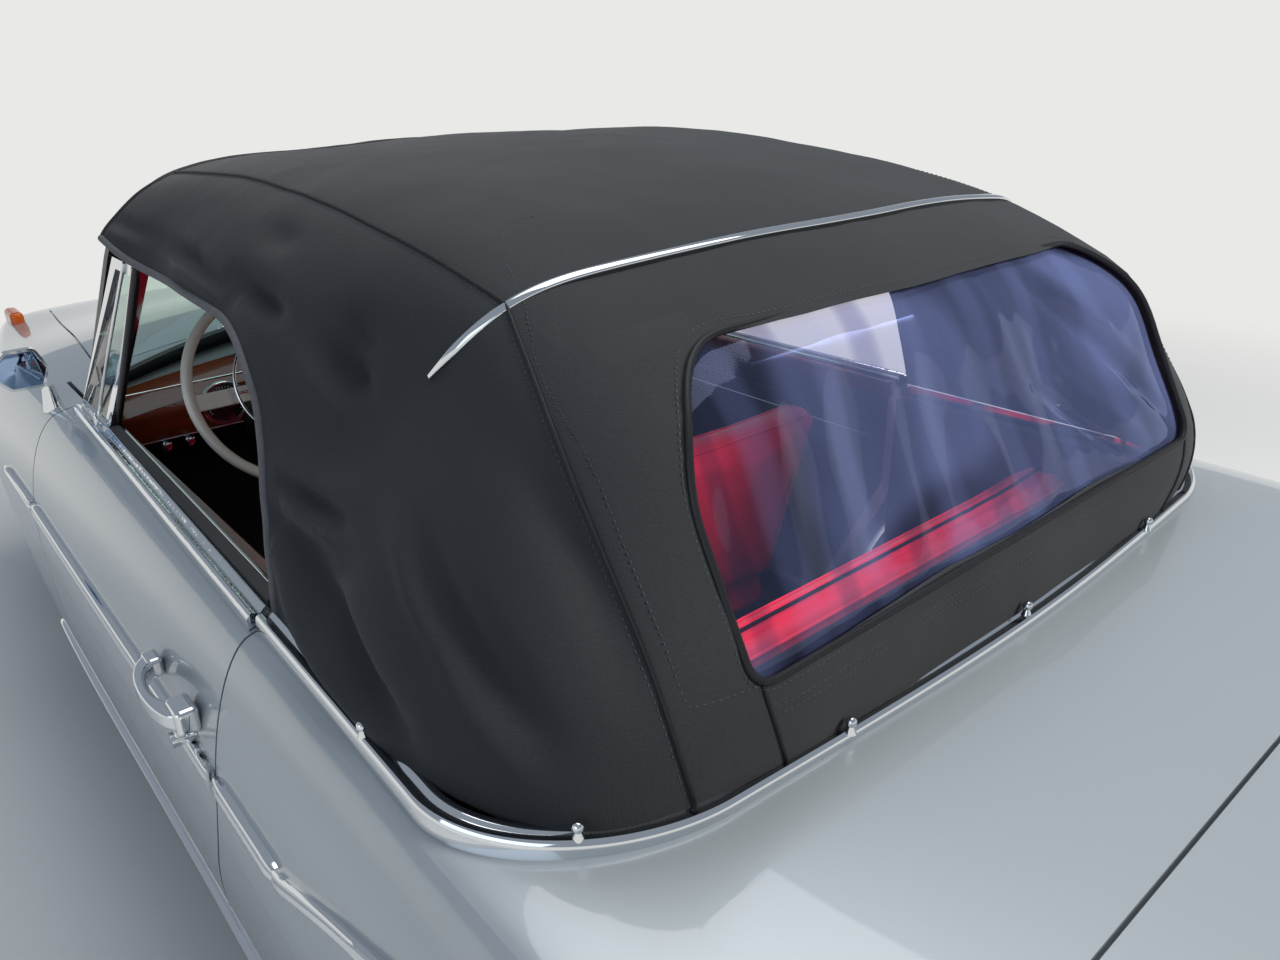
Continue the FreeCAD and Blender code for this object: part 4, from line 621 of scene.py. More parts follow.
POSTS = [(-740, 775), (-1023, 688), (-1098, 367), (-1102, 0)]
for number, (x, y) in enumerate(POSTS + [(x, -y) for x, y in POSTS[:3]]):
    bpy.ops.object.select_all(action="DESELECT")
    bpy.ops.mesh.primitive_uv_sphere_add(segments=20, ring_count=12, radius=6.5 * MM, location=(x * MM, y * MM, 0.951))
    bpy.ops.object.mode_set(mode="EDIT")
    bpy.ops.mesh.select_all(action="DESELECT")
    bpy.ops.mesh.select_mode(type="VERT")
    bpy.ops.object.mode_set(mode="OBJECT")
    for vertex in bpy.context.view_layer.objects.active.data.vertices:
        vertex.select = vertex.co.z < -5.5 * MM
    bpy.ops.object.mode_set(mode="EDIT")
    bpy.ops.mesh.extrude_region_move(TRANSFORM_OT_translate={"value": (0, 0, -9 * MM)})
    bpy.ops.transform.resize(value=(2.2, 2.2, 1), center_override=(x * MM, y * MM, 0.937))
    bpy.ops.object.mode_set(mode="OBJECT")
    finish(settle(f"moulding_post_{number}"), 50, chrome)

# Strip on the rear bow: half-round chrome beading on a black pad, nailed through the cloth,
# with tapered ends.
BOW_STRIP = [(-640, 589, 1292), (-671, 577, 1324), (-697, 552, 1355), (-713, 510, 1382), (-727, 440, 1397),
             (-741, 320, 1408), (-752, 160, 1413), (-757, 0, 1413)]
STRIP_COUNT = 160
strip_on, outward = cloth(smooth_line(both_sides(BOW_STRIP), STRIP_COUNT))
for _ in range(40):
    strip_on[1:-1] = (strip_on[:-2] + 2 * strip_on[1:-1] + strip_on[2:]) / 4
ends = np.minimum(np.linspace(0, 1, STRIP_COUNT), np.linspace(1, 0, STRIP_COUNT))
taper = np.clip(0.45 + ends * 14, 0, 1)


def pressed(name, radius, lift, split, above, below, *finishes):
    """A roll on the bow, pressed flatter by the given shares above and below the split height."""
    roll = swept(name, strip_on + outward * lift * MM, radius, *finishes, thin=taper)
    for vertex in roll.data.vertices:
        spot = np.array(vertex.co)
        nearest = int(np.argmin(np.linalg.norm(strip_on - spot, axis=1)))
        rise = (spot - strip_on[nearest]) @ outward[nearest] - split * MM
        vertex.co = Vector(spot - outward[nearest] * rise * (above if rise > 0 else below))
    return roll


pressed("bow_pad", 10.5, 1, 0, 0.72, 0.72, piping_and_painted_shade, "top_cloth")
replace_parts(pressed("bow_beading", 8.5, 3.2, 3.2, 0.45, 0.8), "bow_strip")

# Side strips: stainless steel rolled to a round-shouldered section with a shallow groove, then
# polished and clipped along the body. The sill strip is a broader one with two ribs.
STRIP_SECTION = [(-14, -4), (-14, 5), (-12.4, 8.8), (-9, 11.2), (-5, 10.8), (-1.5, 9.4),
                 (1.5, 9.4), (5, 10.8), (9, 11.2), (12.4, 8.8), (14, 5), (14, -4)]
SILL_SECTION = [(-13, -4), (-13, 5), (-10, 9.5), (-6, 10), (-3, 6), (3, 6), (6, 10), (10, 9.5), (13, 5), (13, -4)]
STRIP_RUNS = [
    # name, the line as (x, z), its width at the start and the end, body
    ("door_strip", [(-392, 706), (0, 706), (400, 706), (818, 706)], (1, 1), "door_{}"),
    ("wing_strip", [(833, 706), (1000, 706), (1150, 706)], (1, 0.5), "root"),
    ("nose_strip", [(1903, 706), (2010, 706), (2112, 706)], (0.5, 0.5), "root"),
    ("quarter_strip", [(-406, 706), (-520, 706), (-628, 707)], (1.04, 1.1), "root"),
    ("kicked_strip", [(-622, 705), (-660, 714), (-714, 733), (-778, 754), (-847, 773), (-985, 808), (-1165, 831)],
     (0.95, 0.5), "root"),
    ("sill_strip", [(-790, 241), (-300, 241), (300, 241), (800, 241), (1150, 241)], (0.9, 0.9), "root"),
]


def on_side(carriers, side, x, z):
    """The outermost spot of the carriers' side at x and z, with the direction out of it, or None."""
    hits = [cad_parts[node].ray_cast(Vector((x, side * 1.3, z)), Vector((0, -side, 0))) for node in carriers]
    hits = [(spot, normal) for found, spot, normal, _ in hits if found and normal.y * side > 0.5]
    return max(hits, key=lambda hit: abs(hit[0].y)) if hits else None


def laid_strip(name, line, section, widths, carriers, body, side):
    """A moulding laid on the body's side along the line, its section given as (up, out)."""
    run = smooth_line([(x, 0, z) for x, z in line], max(12, int(abs(line[-1][0] - line[0][0]) / 18)))
    hits = [hit for hit in (on_side(carriers, side, x, z) for x, _, z in run) if hit]
    spots, outwards = [np.array(values) for values in zip(*hits)]
    for _ in range(6):
        outwards[1:-1] = outwards[:-2] + 2 * outwards[1:-1] + outwards[2:]
        outwards = unit(outwards)
    ups = np.cross(np.gradient(spots, axis=0), outwards)
    ups = unit(ups * np.sign(ups[:, 2:3]))
    points, last, count = [], len(spots) - 1, len(section)
    for i, (spot, up, out) in enumerate(zip(spots, ups, outwards)):
        width = widths[0] + (widths[1] - widths[0]) * i / last
        ending = min(1.0, 0.75 + 0.25 * min(i, last - i))
        points += [spot + up * rise * width * ending * MM + out * proud * (ending if proud > 0 else 1) * MM
                   for rise, proud in section]
    faces = [(i * count + j, (i + 1) * count + j, (i + 1) * count + (j + 1) % count, i * count + (j + 1) % count)
             for i in range(last) for j in range(count)]
    faces += [tuple(range(count)), tuple(range(last * count + count - 1, last * count - 1, -1))]
    strip = new_piece(name, points, faces)
    edit_all(strip)
    close_edit()
    return finish(strip, 50, chrome, body)


for side, side_name in SIDES:
    panels = [f"{panel}_{side_name}" for panel in ("door", "quarter", "wing")]
    for name, line, widths, body in STRIP_RUNS:
        low = name == "sill_strip"
        strip = laid_strip(f"{name}_{side_name}", line, SILL_SECTION if low else STRIP_SECTION, widths,
                           panels + ["floor_pan"] * low, body.format(side_name), side)
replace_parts(strip, "side_strips")

# Rear window: a sheet of clear flexible vinyl sewn in behind the opening. Years of folding have
# left it in long upright drapes and creases, with a faint violet tint. Its bluish cloudiness is partly
# the old vinyl's own and partly a painted reflection of the sky, with painted highlights along the
# creases and painted shade in the folds.
PANE_LAP, PANE_DEPTH = 9, 11
PANE_COLUMNS, PANE_ROWS = 300, 100
pane_places = [(y, z) for z in np.linspace(PANE_HIGH + PANE_LAP, PANE_LOW - PANE_LAP, PANE_ROWS)
               for y in np.linspace(PANE_HALF + PANE_LAP, -PANE_HALF - PANE_LAP, PANE_COLUMNS)]
# Drapes and creases: middle lines as (y, z) on the pane, half width and depth in millimetres
DRAPES = [
    (((318, 1336), (365, 1270), (375, 1190), (405, 1085)), 26, 5.0),
    (((413, 1299), (447, 1262), (459, 1197), (472, 1126)), 20, -4.0),
    (((187, 1330), (206, 1253), (217, 1167), (255, 1094)), 34, -6.0),
    (((250, 1330), (275, 1250), (290, 1160), (318, 1070)), 22, 4.0),
    (((140, 1325), (159, 1180), (172, 1120), (190, 1060)), 20, 5.0),
    (((18, 1338), (38, 1266), (47, 1183), (51, 1100)), 36, -5.5),
    (((80, 1335), (95, 1260), (105, 1180), (118, 1080)), 22, 3.5),
    (((-107, 1330), (-115, 1249), (-136, 1154), (-112, 1066)), 28, 5.0),
    (((-40, 1335), (-50, 1240), (-60, 1150), (-50, 1070)), 22, -3.5),
    (((-222, 1325), (-271, 1282), (-337, 1224), (-411, 1148), (-480, 1085)), 14, -6.5),
    (((-255, 1335), (-310, 1290), (-375, 1235), (-440, 1170)), 16, 4.5),
    (((-169, 1192), (-231, 1146), (-283, 1100), (-330, 1066)), 13, -5.5),
    (((-200, 1230), (-262, 1178), (-330, 1120), (-380, 1080)), 16, 4.0),
    (((-180, 1310), (-200, 1250), (-190, 1190)), 20, -4.0),
]
spots = np.array(pane_places, float)
drape = np.array([2.2 * noise.noise(Vector((y * 0.013, z * 0.004, 3.7)))
                  + 0.5 * noise.noise(Vector((y * 0.035, z * 0.012, 8.1))) for y, z in pane_places])
for line, width, depth in DRAPES:
    drape += depth * fold_lift(spots, np.array(line, float), width)
pane_skin, outward = rear_panel_at(pane_places)
rear_window = new_piece("draped_rear_window", pane_skin + outward * (drape - PANE_DEPTH)[:, None] * MM,
                        grid_faces(PANE_ROWS, PANE_COLUMNS))
vinyl, place = new_material("clear_vinyl")
streak_map = add_node(vinyl, "Mapping", {}, {"Vector": place, "Scale": (1.0, 5.0, 1.6)})
streaks = add_node(vinyl, "TexWave", {"bands_direction": "Y"}, {
    "Vector": streak_map.outputs[0], "Scale": 0.42, "Distortion": 9.0, "Detail": 2.0, "Detail Scale": 0.5})
clouds = add_node(vinyl, "TexNoise", {}, {"Vector": place, "Scale": 3.2, "Detail": 1.0, "Distortion": 0.8})
across = add_node(vinyl, "SeparateXYZ", {}, {0: place})
# Shares of the bluish layer: from the clouds, partly the vinyl's own cloudiness and partly painted sky reflection;
# painted highlights along the creases; painted sky reflection on the side that the sky lights. The last share is
# painted shade that dims the folds.
haze_and_painted_light_shares = [add_node(vinyl, "MapRange", {"interpolation_type": "SMOOTHSTEP"}, dict(enumerate(
    (value, from_low, from_high, to_low, to_high)))) for value, from_low, from_high, to_low, to_high in (
    (clouds.outputs["Fac"], 0.45, 0.65, 0.03, 0.16), (streaks.outputs["Fac"], 0.6, 1.0, 0.0, 0.06),
    (across.outputs["Y"], 0.3, -0.25, 0.0, 0.12), (streaks.outputs["Fac"], 0.0, 0.25, 0.0, 1.0))]
cloud_haze_and_painted_sky, painted_crease_highlights, painted_sky_side, painted_fold_shade = [share.outputs[0] for share in haze_and_painted_light_shares]
haze_and_crease_highlights = add_node(vinyl, "Math", {"operation": "ADD"}, {0: cloud_haze_and_painted_sky, 1: painted_crease_highlights})
haze_and_painted_light_share = add_node(vinyl, "Math", {"operation": "ADD"}, {0: haze_and_crease_highlights.outputs[0], 1: painted_sky_side})
vinyl_bump = add_node(vinyl, "Bump", {}, {"Height": streaks.outputs["Fac"], "Strength": 0.15, "Distance": 8 * MM})
# The see-through tone is darker in the folds: painted shade
tone = add_node(vinyl, "Mix", {"data_type": "RGBA"}, {0: painted_fold_shade, 6: from_hex("#C4BFD6"), 7: from_hex("#F4F0FC")})
see_through = add_node(vinyl, "BsdfTransparent", {}, {"Color": tone.outputs[2]})
# Bluish diffuse layer: partly the old vinyl's cloudiness, partly a painted reflection of the sky
haze_and_painted_sky = add_node(vinyl, "BsdfDiffuse", {}, {"Color": from_hex("#8796D2")})
see_through_with_painted_sky = add_node(vinyl, "MixShader", {}, {0: haze_and_painted_light_share.outputs[0], 1: see_through.outputs[0], 2: haze_and_painted_sky.outputs[0]})
wavy = {"Normal": vinyl_bump.outputs["Normal"]}
# The mirror layer is tinted blue: painted sky reflection
glazed(vinyl, see_through_with_painted_sky, add_node(vinyl, "BsdfGlossy", {}, {"Color": from_hex("#C6D2FF"), "Roughness": 0.06, **wavy}),
       add_node(vinyl, "Fresnel", {}, {"IOR": 1.45, **wavy}))
finish(rear_window, 60, vinyl)
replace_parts(rear_window, "rear_window")

# Seats: foam and hair over springs under bright red leather. Each cushion is sewn from panels
# and swells between its seams, with a welt round its faces, and stands on a steel frame.
leather, place = new_material("red_leather")
grain = add_node(leather, "TexVoronoi", {}, {"Vector": place, "Scale": 1 / (3 * MM)})
grain_bump = add_node(leather, "Bump", {}, {"Height": grain.outputs["Distance"], "Strength": 0.15, "Distance": 0.3 * MM})
creases = add_node(leather, "TexNoise", {}, {"Vector": place, "Scale": 9.0, "Detail": 4.0})
tone = add_node(leather, "Mix", {"data_type": "RGBA"}, {
    0: creases.outputs["Fac"], 6: from_hex("#D21A34"), 7: from_hex("#EC3050")})
shader = add_node(leather, "BsdfPrincipled", {}, {
    "Base Color": tone.outputs[2], "Roughness": 0.38, "Coat Weight": 0.15, "Coat Roughness": 0.25,
    "Normal": grain_bump.outputs["Normal"]})
add_node(leather, "OutputMaterial", {}, {"Surface": shader.outputs[0]})
PAD_SWELL, PAD_EDGE, CLOTH_STEPS, CHANNEL_HALF, CHANNEL_REACH = 15 * MM, 34 * MM, 20, 8, 60


def cushion(name, outline, half, middle, voxel, channels=()):
    """A padded block: the outline seen from the side as (x, z), stretched across and blown up as
    cloth. Each channel is a sewn line as (x, z) and the way that it sinks."""
    pad = prism(name, outline, (-half, half), lambda y, x, z: (x * MM, (middle + y) * MM, z * MM))
    edit_all(pad)
    bpy.ops.mesh.normals_make_consistent(inside=False)
    bpy.ops.mesh.bevel(offset=PAD_EDGE, segments=5, affect="EDGES")
    bpy.ops.object.mode_set(mode="OBJECT")
    apply_modifier(pad, "REMESH", mode="VOXEL", voxel_size=voxel * MM)
    before = np.array([vertex.co for vertex in pad.data.vertices])
    blown = pad.modifiers.new("blown", "CLOTH")
    blown.settings.use_pressure = True
    blown.settings.uniform_pressure_force = 4.0
    blown.settings.effector_weights.gravity = 0.0
    for step in range(CLOTH_STEPS):
        bpy.context.scene.frame_set(step + 1)
    select_only(pad)
    bpy.ops.object.modifier_apply(modifier=blown.name)
    bpy.context.scene.frame_set(1)
    moved = np.array([vertex.co for vertex in pad.data.vertices]) - before
    far = np.linalg.norm(moved, axis=1)
    after = before + moved * np.minimum(1, PAD_SWELL / np.maximum(far, 1e-9))[:, None]
    for vertex, spot in zip(pad.data.vertices, after):
        vertex.co = spot
    apply_modifier(pad, "SUBSURF", levels=1, render_levels=1)
    for (x, z), (down_x, down_z), reach in channels:
        for vertex in pad.data.vertices:
            facing = vertex.normal.x * down_x + vertex.normal.z * down_z
            away = abs((vertex.co.x / MM - x) * down_z - (vertex.co.z / MM - z) * down_x)
            if facing < -0.3 and away < CHANNEL_REACH:
                vertex.co += Vector((down_x, 0, down_z)) * (reach * MM * math.exp(-(away / CHANNEL_HALF) ** 2))
    finish(pad, 80, leather)
    return pad


def welt(name, pad, line, material=leather, radius=3.5):
    """Piping along the points in millimetres, laid on the pad's surface."""
    laid = []
    for point in evenly(np.array(line, float) * MM, 60):
        found, spot, normal, _ = pad.closest_point_on_mesh(Vector(point))
        laid.append(tuple(spot + normal * 0.5 * MM))
    swept(name, laid, radius, material, "seat_leather")


SEAT_MIDDLE = 338
BACK_OUTLINE = [(-166, 396), (-84, 410), (-214, 898), (-296, 890)]
SQUAB_OUTLINE = [(-176, 306), (268, 318), (284, 424), (-138, 406)]
for name, outline, half, voxel in (("seat_back", BACK_OUTLINE, 232, 10), ("seat_squab", SQUAB_OUTLINE, 234, 13)):
    left_pad = cushion(f"{name}_left", outline, half, SEAT_MIDDLE, voxel)
    select_only(left_pad)
    bpy.ops.object.duplicate(linked=False)
    bpy.ops.transform.translate(value=(0, -2 * SEAT_MIDDLE * MM, 0))
    right_pad = settle(f"{name}_right")
    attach(right_pad, "root")
    if name == "seat_squab":
        continue
    for pad, (side, side_name) in zip((left_pad, right_pad), SIDES):
        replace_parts(pad, f"seat_{side_name}")
        for face_name, x_foot, x_head in (("rear", -190, -318), ("front", -62, -196)):
            half_run = [(x_foot, -226, 420), (x_head, -226, 880), (x_head - 6, -196, 914)]
            full_run = half_run + [(x, -y, z) for x, y, z in half_run[::-1]]
            welt(f"seat_welt_{face_name}_{side_name}", pad, np.array(full_run) + (0, side * SEAT_MIDDLE, 0))

BENCH_BACK_OUTLINE = [(-876, 466), (-750, 466), (-808, 926), (-892, 918)]
BENCH_OUTLINE = [(-780, 306), (-396, 316), (-386, 436), (-780, 464)]
bench_back = cushion("bench_back", BENCH_BACK_OUTLINE, 564, 0, 11, [((-850, 935), (0, -1), 9)])
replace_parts(bench_back, "rear_bench")
cushion("bench_squab", BENCH_OUTLINE, 564, 0, 16)
# A near-black roll laid in the back's sewn groove: painted shade in the groove
welt("bench_groove_shade", bench_back, [(-850, -560, 940), (-850, 560, 940)], piping_and_painted_shade, 3.0)
for face_name, x in (("rear", -905), ("front", -792)):
    welt(f"bench_welt_{face_name}", bench_back, [(x, -556, 905), (x, 556, 905)])


def block(name, place, size):
    """A box with its middle at the place."""
    bpy.ops.object.select_all(action="DESELECT")
    bpy.ops.mesh.primitive_cube_add(size=1, location=place, scale=size)
    return settle(name)


# Under the bench's rear roll: a thin near-black strip across the rear of the bench, painted shade under the roll
roll_shade_strip = block("bench_roll_shade", (-0.909, 0, 0.887), (0.004, 1.13, 0.028))
apply_modifier(roll_shade_strip, "BEVEL", width=1.5 * MM, segments=2)
finish(roll_shade_strip, 40, piping_and_painted_shade)

# Dashboard: a curved panel of reddish-brown veneer under thick clear varnish, below a roll of
# padded black vinyl. Plated beads edge the wood, and the instruments sit in plated rims.
WOOD_LOW, WOOD_HIGH = 0.862, 0.972
VINYL_TONES = ("#101012", "#1B1B1E")


def varnished(material, place, colours):
    """Wood under varnish, with its grain across the car, and the grain's value."""
    grain_map = add_node(material, "Mapping", {}, {"Vector": place, "Scale": (9.0, 1.0, 9.0)})
    rings = add_node(material, "TexNoise", {}, {
        "Vector": grain_map.outputs[0], "Scale": 5.0, "Detail": 6.0, "Distortion": 1.4})
    tone = add_node(material, "Mix", {"data_type": "RGBA"}, {
        0: rings.outputs["Fac"], 6: from_hex(colours[0]), 7: from_hex(colours[1])})
    wood = add_node(material, "BsdfPrincipled", {}, {
        "Base Color": tone.outputs[2], "Roughness": 0.3, "Coat Weight": 1.0, "Coat Roughness": 0.04})
    return wood, rings


veneer, place = new_material("varnished_veneer")
wood, rings = varnished(veneer, place, ("#3A180B", "#693216"))
add_node(veneer, "OutputMaterial", {}, {"Surface": wood.outputs[0]})
give(veneer, "door_rail_left", "door_rail_right")
black_vinyl = toned("padded_black_vinyl", VINYL_TONES, 1 / (2 * MM), "TexVoronoi", bump=(0.2, 0.3), Roughness=0.5)
give(black_vinyl, "parcel_shelf", "cabin_trim")
dash_wood, place = new_material("dashboard_veneer_and_vinyl")
wood, rings = varnished(dash_wood, place, ("#4A1B0B", "#8E4219"))
height = add_node(dash_wood, "SeparateXYZ", {}, {0: place}).outputs["Z"]
above = add_node(dash_wood, "Math", {"operation": "GREATER_THAN"}, {0: height, 1: WOOD_HIGH})
below = add_node(dash_wood, "Math", {"operation": "LESS_THAN"}, {0: height, 1: WOOD_LOW})
outside = add_node(dash_wood, "Math", {"operation": "MAXIMUM"}, {0: above.outputs[0], 1: below.outputs[0]})
tone = add_node(dash_wood, "Mix", {"data_type": "RGBA"}, {
    0: rings.outputs["Fac"], 6: from_hex(VINYL_TONES[0]), 7: from_hex(VINYL_TONES[1])})
vinyl_skin = add_node(dash_wood, "BsdfPrincipled", {}, {"Base Color": tone.outputs[2], "Roughness": 0.5})
shader = add_node(dash_wood, "MixShader", {}, {0: outside.outputs[0], 1: wood.outputs[0], 2: vinyl_skin.outputs[0]})
add_node(dash_wood, "OutputMaterial", {}, {"Surface": shader.outputs[0]})
give(dash_wood, "dashboard")
for bead_name, x, z in (("dash_bead_high", 629, 974), ("dash_bead_low", 625, 860)):
    swept(bead_name, [(x * MM, y * MM, z * MM) for y in range(-690, 691, 30)], 3)

# Instruments: stamped dials with white ticks under glass, in plated rims, and pull knobs of
# turned and plated brass in a row under the wood.
DIAL_PLACES = ((470, 918, 52), (352, 918, 52), (252, 918, 34), (0, 918, 44))
DASH_FACE, TICKS = 609, 25
dial_black = toned("dial_face", ("#15171A", "#202328"), 60.0, Roughness=0.25, Coat_Weight=1.0, Coat_Roughness=0.02)
tick_paint = toned("white_dial_paint", ("#B9B7AC", "#E2E0D6"), 300.0, Roughness=0.6)


def turned(name, place, steps, material=chrome, body="root", heading=-90, sides=32):
    """A turned piece: a disc extruded and scaled in steps of (out, times) in millimetres, then
    turned from upwards by the heading in degrees about the line across the car."""
    bpy.ops.object.select_all(action="DESELECT")
    bpy.ops.mesh.primitive_circle_add(vertices=sides, radius=steps[0] * MM, fill_type="NGON", location=(0, 0, 0))
    piece = bpy.context.view_layer.objects.active
    edit_all(piece)
    for out, times in steps[1:]:
        bpy.ops.mesh.extrude_region_move(TRANSFORM_OT_translate={"value": (0, 0, out * MM)})
        bpy.ops.transform.resize(value=(times, times, 1), center_override=(0, 0, 0))
    bpy.ops.mesh.select_all(action="SELECT")
    bpy.ops.mesh.remove_doubles(threshold=0.01 * MM)
    close_edit()
    piece.rotation_euler = (0, math.radians(heading), 0)
    piece.location = [value * MM for value in place]
    return finish(settle(name), 40, material, body)


for number, (y, z, radius) in enumerate(DIAL_PLACES):
    turned(f"dial_rim_{number}", (DASH_FACE + 6, y, z), (radius, (9, 1), (2.5, 0.97), (0, 0.93), (-4, 0.97)))
    turned(f"dial_face_{number}", (DASH_FACE, y, z), (radius * 0.84, (2.2, 1), (0.5, 0.97)),
           dial_black)
    ticks = []
    for turn in np.radians(-210 + 240 * np.arange(TICKS) / (TICKS - 1)):
        for across, far in ((-0.9, 0.68), (0.9, 0.68), (0.9, 0.78), (-0.9, 0.78)):
            ticks.append(((DASH_FACE - 3) * MM, (y + radius * far * math.cos(turn) - across * math.sin(turn)) * MM,
                          (z - radius * far * math.sin(turn) - across * math.cos(turn)) * MM))
    scale = new_piece(f"dial_ticks_{number}", ticks, [range(4 * step, 4 * step + 4) for step in range(TICKS)])
    apply_modifier(scale, "SOLIDIFY", thickness=0.3 * MM)
    scale.data.materials.append(tick_paint)
    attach(scale, "root")
for number, y in enumerate((610, 560, 300, 200, 90, -90, -180)):
    turned(f"dash_knob_{number}", (640, y, 846), (4, (14, 1), (1, 2.6), (4, 1.2), (8, 0.96), (2, 0.7)), sides=20)

# Steering wheel: hard ivory resin moulded over a steel ring, with a plated horn ring and boss.
give(toned("ivory_resin", ("#B9B6AE", "#CFCBC0"), 6.0, Roughness=0.25, Coat_Weight=0.4, Coat_Roughness=0.1),
     "steering_wheel")
WHEEL_MIDDLE, WHEEL_TILT, HORN_RADIUS, HORN_LIFT = np.array((350, 400, 1010)), 27, 122, 26
tilt_cos, tilt_sin = math.cos(math.radians(WHEEL_TILT)), math.sin(math.radians(WHEEL_TILT))
wheel_axis, wheel_up = np.array((tilt_cos, 0, -tilt_sin)), np.array((tilt_sin, 0, tilt_cos))
horn_middle = WHEEL_MIDDLE - wheel_axis * HORN_LIFT
ROUND = np.linspace(0, 2 * math.pi, 72, endpoint=False)
horn_line = [horn_middle + HORN_RADIUS * (math.cos(turn) * np.array((0, 1, 0)) + math.sin(turn) * wheel_up)
             for turn in ROUND]
swept("horn_ring", np.array(horn_line) * MM, 3.2, closed=True, body="steering_wheel")
for side, side_name in SIDES:
    arm = [horn_middle + side * np.array((0, reach, 0)) + wheel_axis * drop
           for reach, drop in ((HORN_RADIUS, 0), (70, 2), (24, 6))]
    swept(f"horn_arm_{side_name}", np.array(arm) * MM, 3, body="steering_wheel")
turned("horn_boss", WHEEL_MIDDLE - wheel_axis * 18, (33, (4, 1), (5, 0.9), (5, 0.75), (3, 0.5), (1, 0.4)),
       body="steering_wheel", heading=WHEEL_TILT - 90)

# Carpet: black wool loop glued over the floor and turned up the toe-board under the dash
CARPET_LINE = [(-0.39, 0.258), (0.2, 0.258), (0.78, 0.258), (0.86, 0.3), (0.935, 0.4), (0.951, 0.5), (0.951, 0.82)]
carpet_rows = [(x, y, z) for x, z in CARPET_LINE for y in (-0.66, 0, 0.66)]
carpet = new_piece("cabin_carpet", carpet_rows, grid_faces(len(CARPET_LINE), 3))
edit_all(carpet)
close_edit()
if carpet.data.polygons[0].normal.z < 0:
    carpet.data.flip_normals()
apply_modifier(carpet, "SOLIDIFY", thickness=7 * MM, offset=1.0)
finish(carpet, 30, toned("black_wool_carpet", ("#0C0C0D", "#1C1B1D"), 1 / (4 * MM), "TexVoronoi", bump=(0.6, 1.5),
                         Roughness=0.95, Sheen_Weight=0.2))

# Door tops: the glass drops into a slot lined with black felt, between the plated moulding
# outside and a thin plated bead, and the polished wood rail inside.
felt = toned("black_felt", ("#08080A", "#141416"), 700.0, detail=3.0, bump=(0.5, 0.4), Roughness=0.9, Sheen_Weight=0.2)
seal_rubber = toned("black_rubber_seal", ("#0C0C0D", "#1A1A1B"), 40.0, detail=3.0, Roughness=0.45)
SLOT_REAR, SLOT_FRONT = -382, 560
FELT_SECTION = [(-10, -14), (-10, 2), (-3, 4), (4, 4), (10, 2), (10, -14)]
BEAD_SECTION = [(-3, -8), (-3, 1), (-1.5, 3), (1.5, 3), (3, 1), (3, -8)]
VENT_BARS = [("vent_seal", [(560, 707, 938), (411, 690, 1110), (316, 655, 1296)], 8.5, seal_rubber, "black_plastic"),
             ("vent_bar_rear", [(592, 716, 938), (440, 690, 1110), (345, 656, 1290)], 3.5, chrome, "chrome"),
             ("vent_bar_front", [(640, 725, 938), (500, 700, 1110), (412, 654, 1290)], 3.5, chrome, "chrome")]
for side, side_name in SIDES:
    door_body = f"door_{side_name}"
    slot_run = [(x * MM, side * (727 - 0.022 * x) * MM, 0.9395) for x in np.linspace(SLOT_REAR, SLOT_FRONT, 20)]
    swept(f"glass_slot_{side_name}", slot_run, 0, felt, "black_plastic", profile=FELT_SECTION, body=door_body)
    bead_run = [(x, y - side * 10.5 * MM, z + 2 * MM) for x, y, z in slot_run]
    swept(f"slot_bead_{side_name}", bead_run, profile=BEAD_SECTION, body=door_body)
    for bar_name, places, radius, bar_material, bar_slot in VENT_BARS:
        bar = smooth_line(np.array(places) * (1, side, 1), 24)
        swept(f"{bar_name}_{side_name}", bar, radius, bar_material, bar_slot, body=door_body)
    latch = [(597 + 9 * math.cos(turn), side * (738 - 0.3 * math.sin(turn)), 944 + 17 * math.sin(turn))
             for turn in ROUND[::3]]
    swept(f"vent_latch_{side_name}", np.array(latch) * MM, 2.6, closed=True, body=door_body)

# Tyres: black rubber, moulded with four grooves round the tread, notched shoulders and raised
# bands on the walls, dull with a little road dust.
rubber = toned("tyre_rubber", ("#151515", "#242322"), 90.0, detail=4.0, bump=(0.3, 0.5), Roughness=0.8)
give(rubber, "steering_column")
CORNERS = ("front_left", "front_right", "rear_left", "rear_right")
WALL = [(186, 66), (200, 77), (228, 84), (232, 83), (236, 85.6), (264, 86), (268, 84), (298, 81.5), (318, 74),
        (326, 66), (331.4, 52)]
GROOVES = (30, 10, -10, -30)
TREAD = [(radius, middle + across) for middle in GROOVES
         for radius, across in ((332, 3), (325, 2.4), (325, -2.4), (332, -3))]
TYRE_STEPS, NOTCH, SHOULDER_RADIUS, SHOULDER_HALF = 144, 5, 310, 50


def spun(name, profile, steps, material):
    """A ring turned about the upright axis from a closed section given as (radius, up)."""
    mesh = bpy.data.meshes.new(name)
    count = len(profile)
    edges = [(i, (i + 1) % count) for i in range(count)]
    mesh.from_pydata([(radius * MM, 0, up * MM) for radius, up in profile], edges, [])
    ring = bpy.data.objects.new(name, mesh)
    bpy.context.scene.collection.objects.link(ring)
    edit_all(ring)
    bpy.ops.mesh.spin(steps=steps, angle=2 * math.pi, center=(0, 0, 0), axis=(0, 0, 1))
    bpy.ops.mesh.select_all(action="SELECT")
    bpy.ops.mesh.remove_doubles(threshold=0.01 * MM)
    close_edit()
    smooth(ring, 32)
    ring.data.materials.append(material)
    return ring


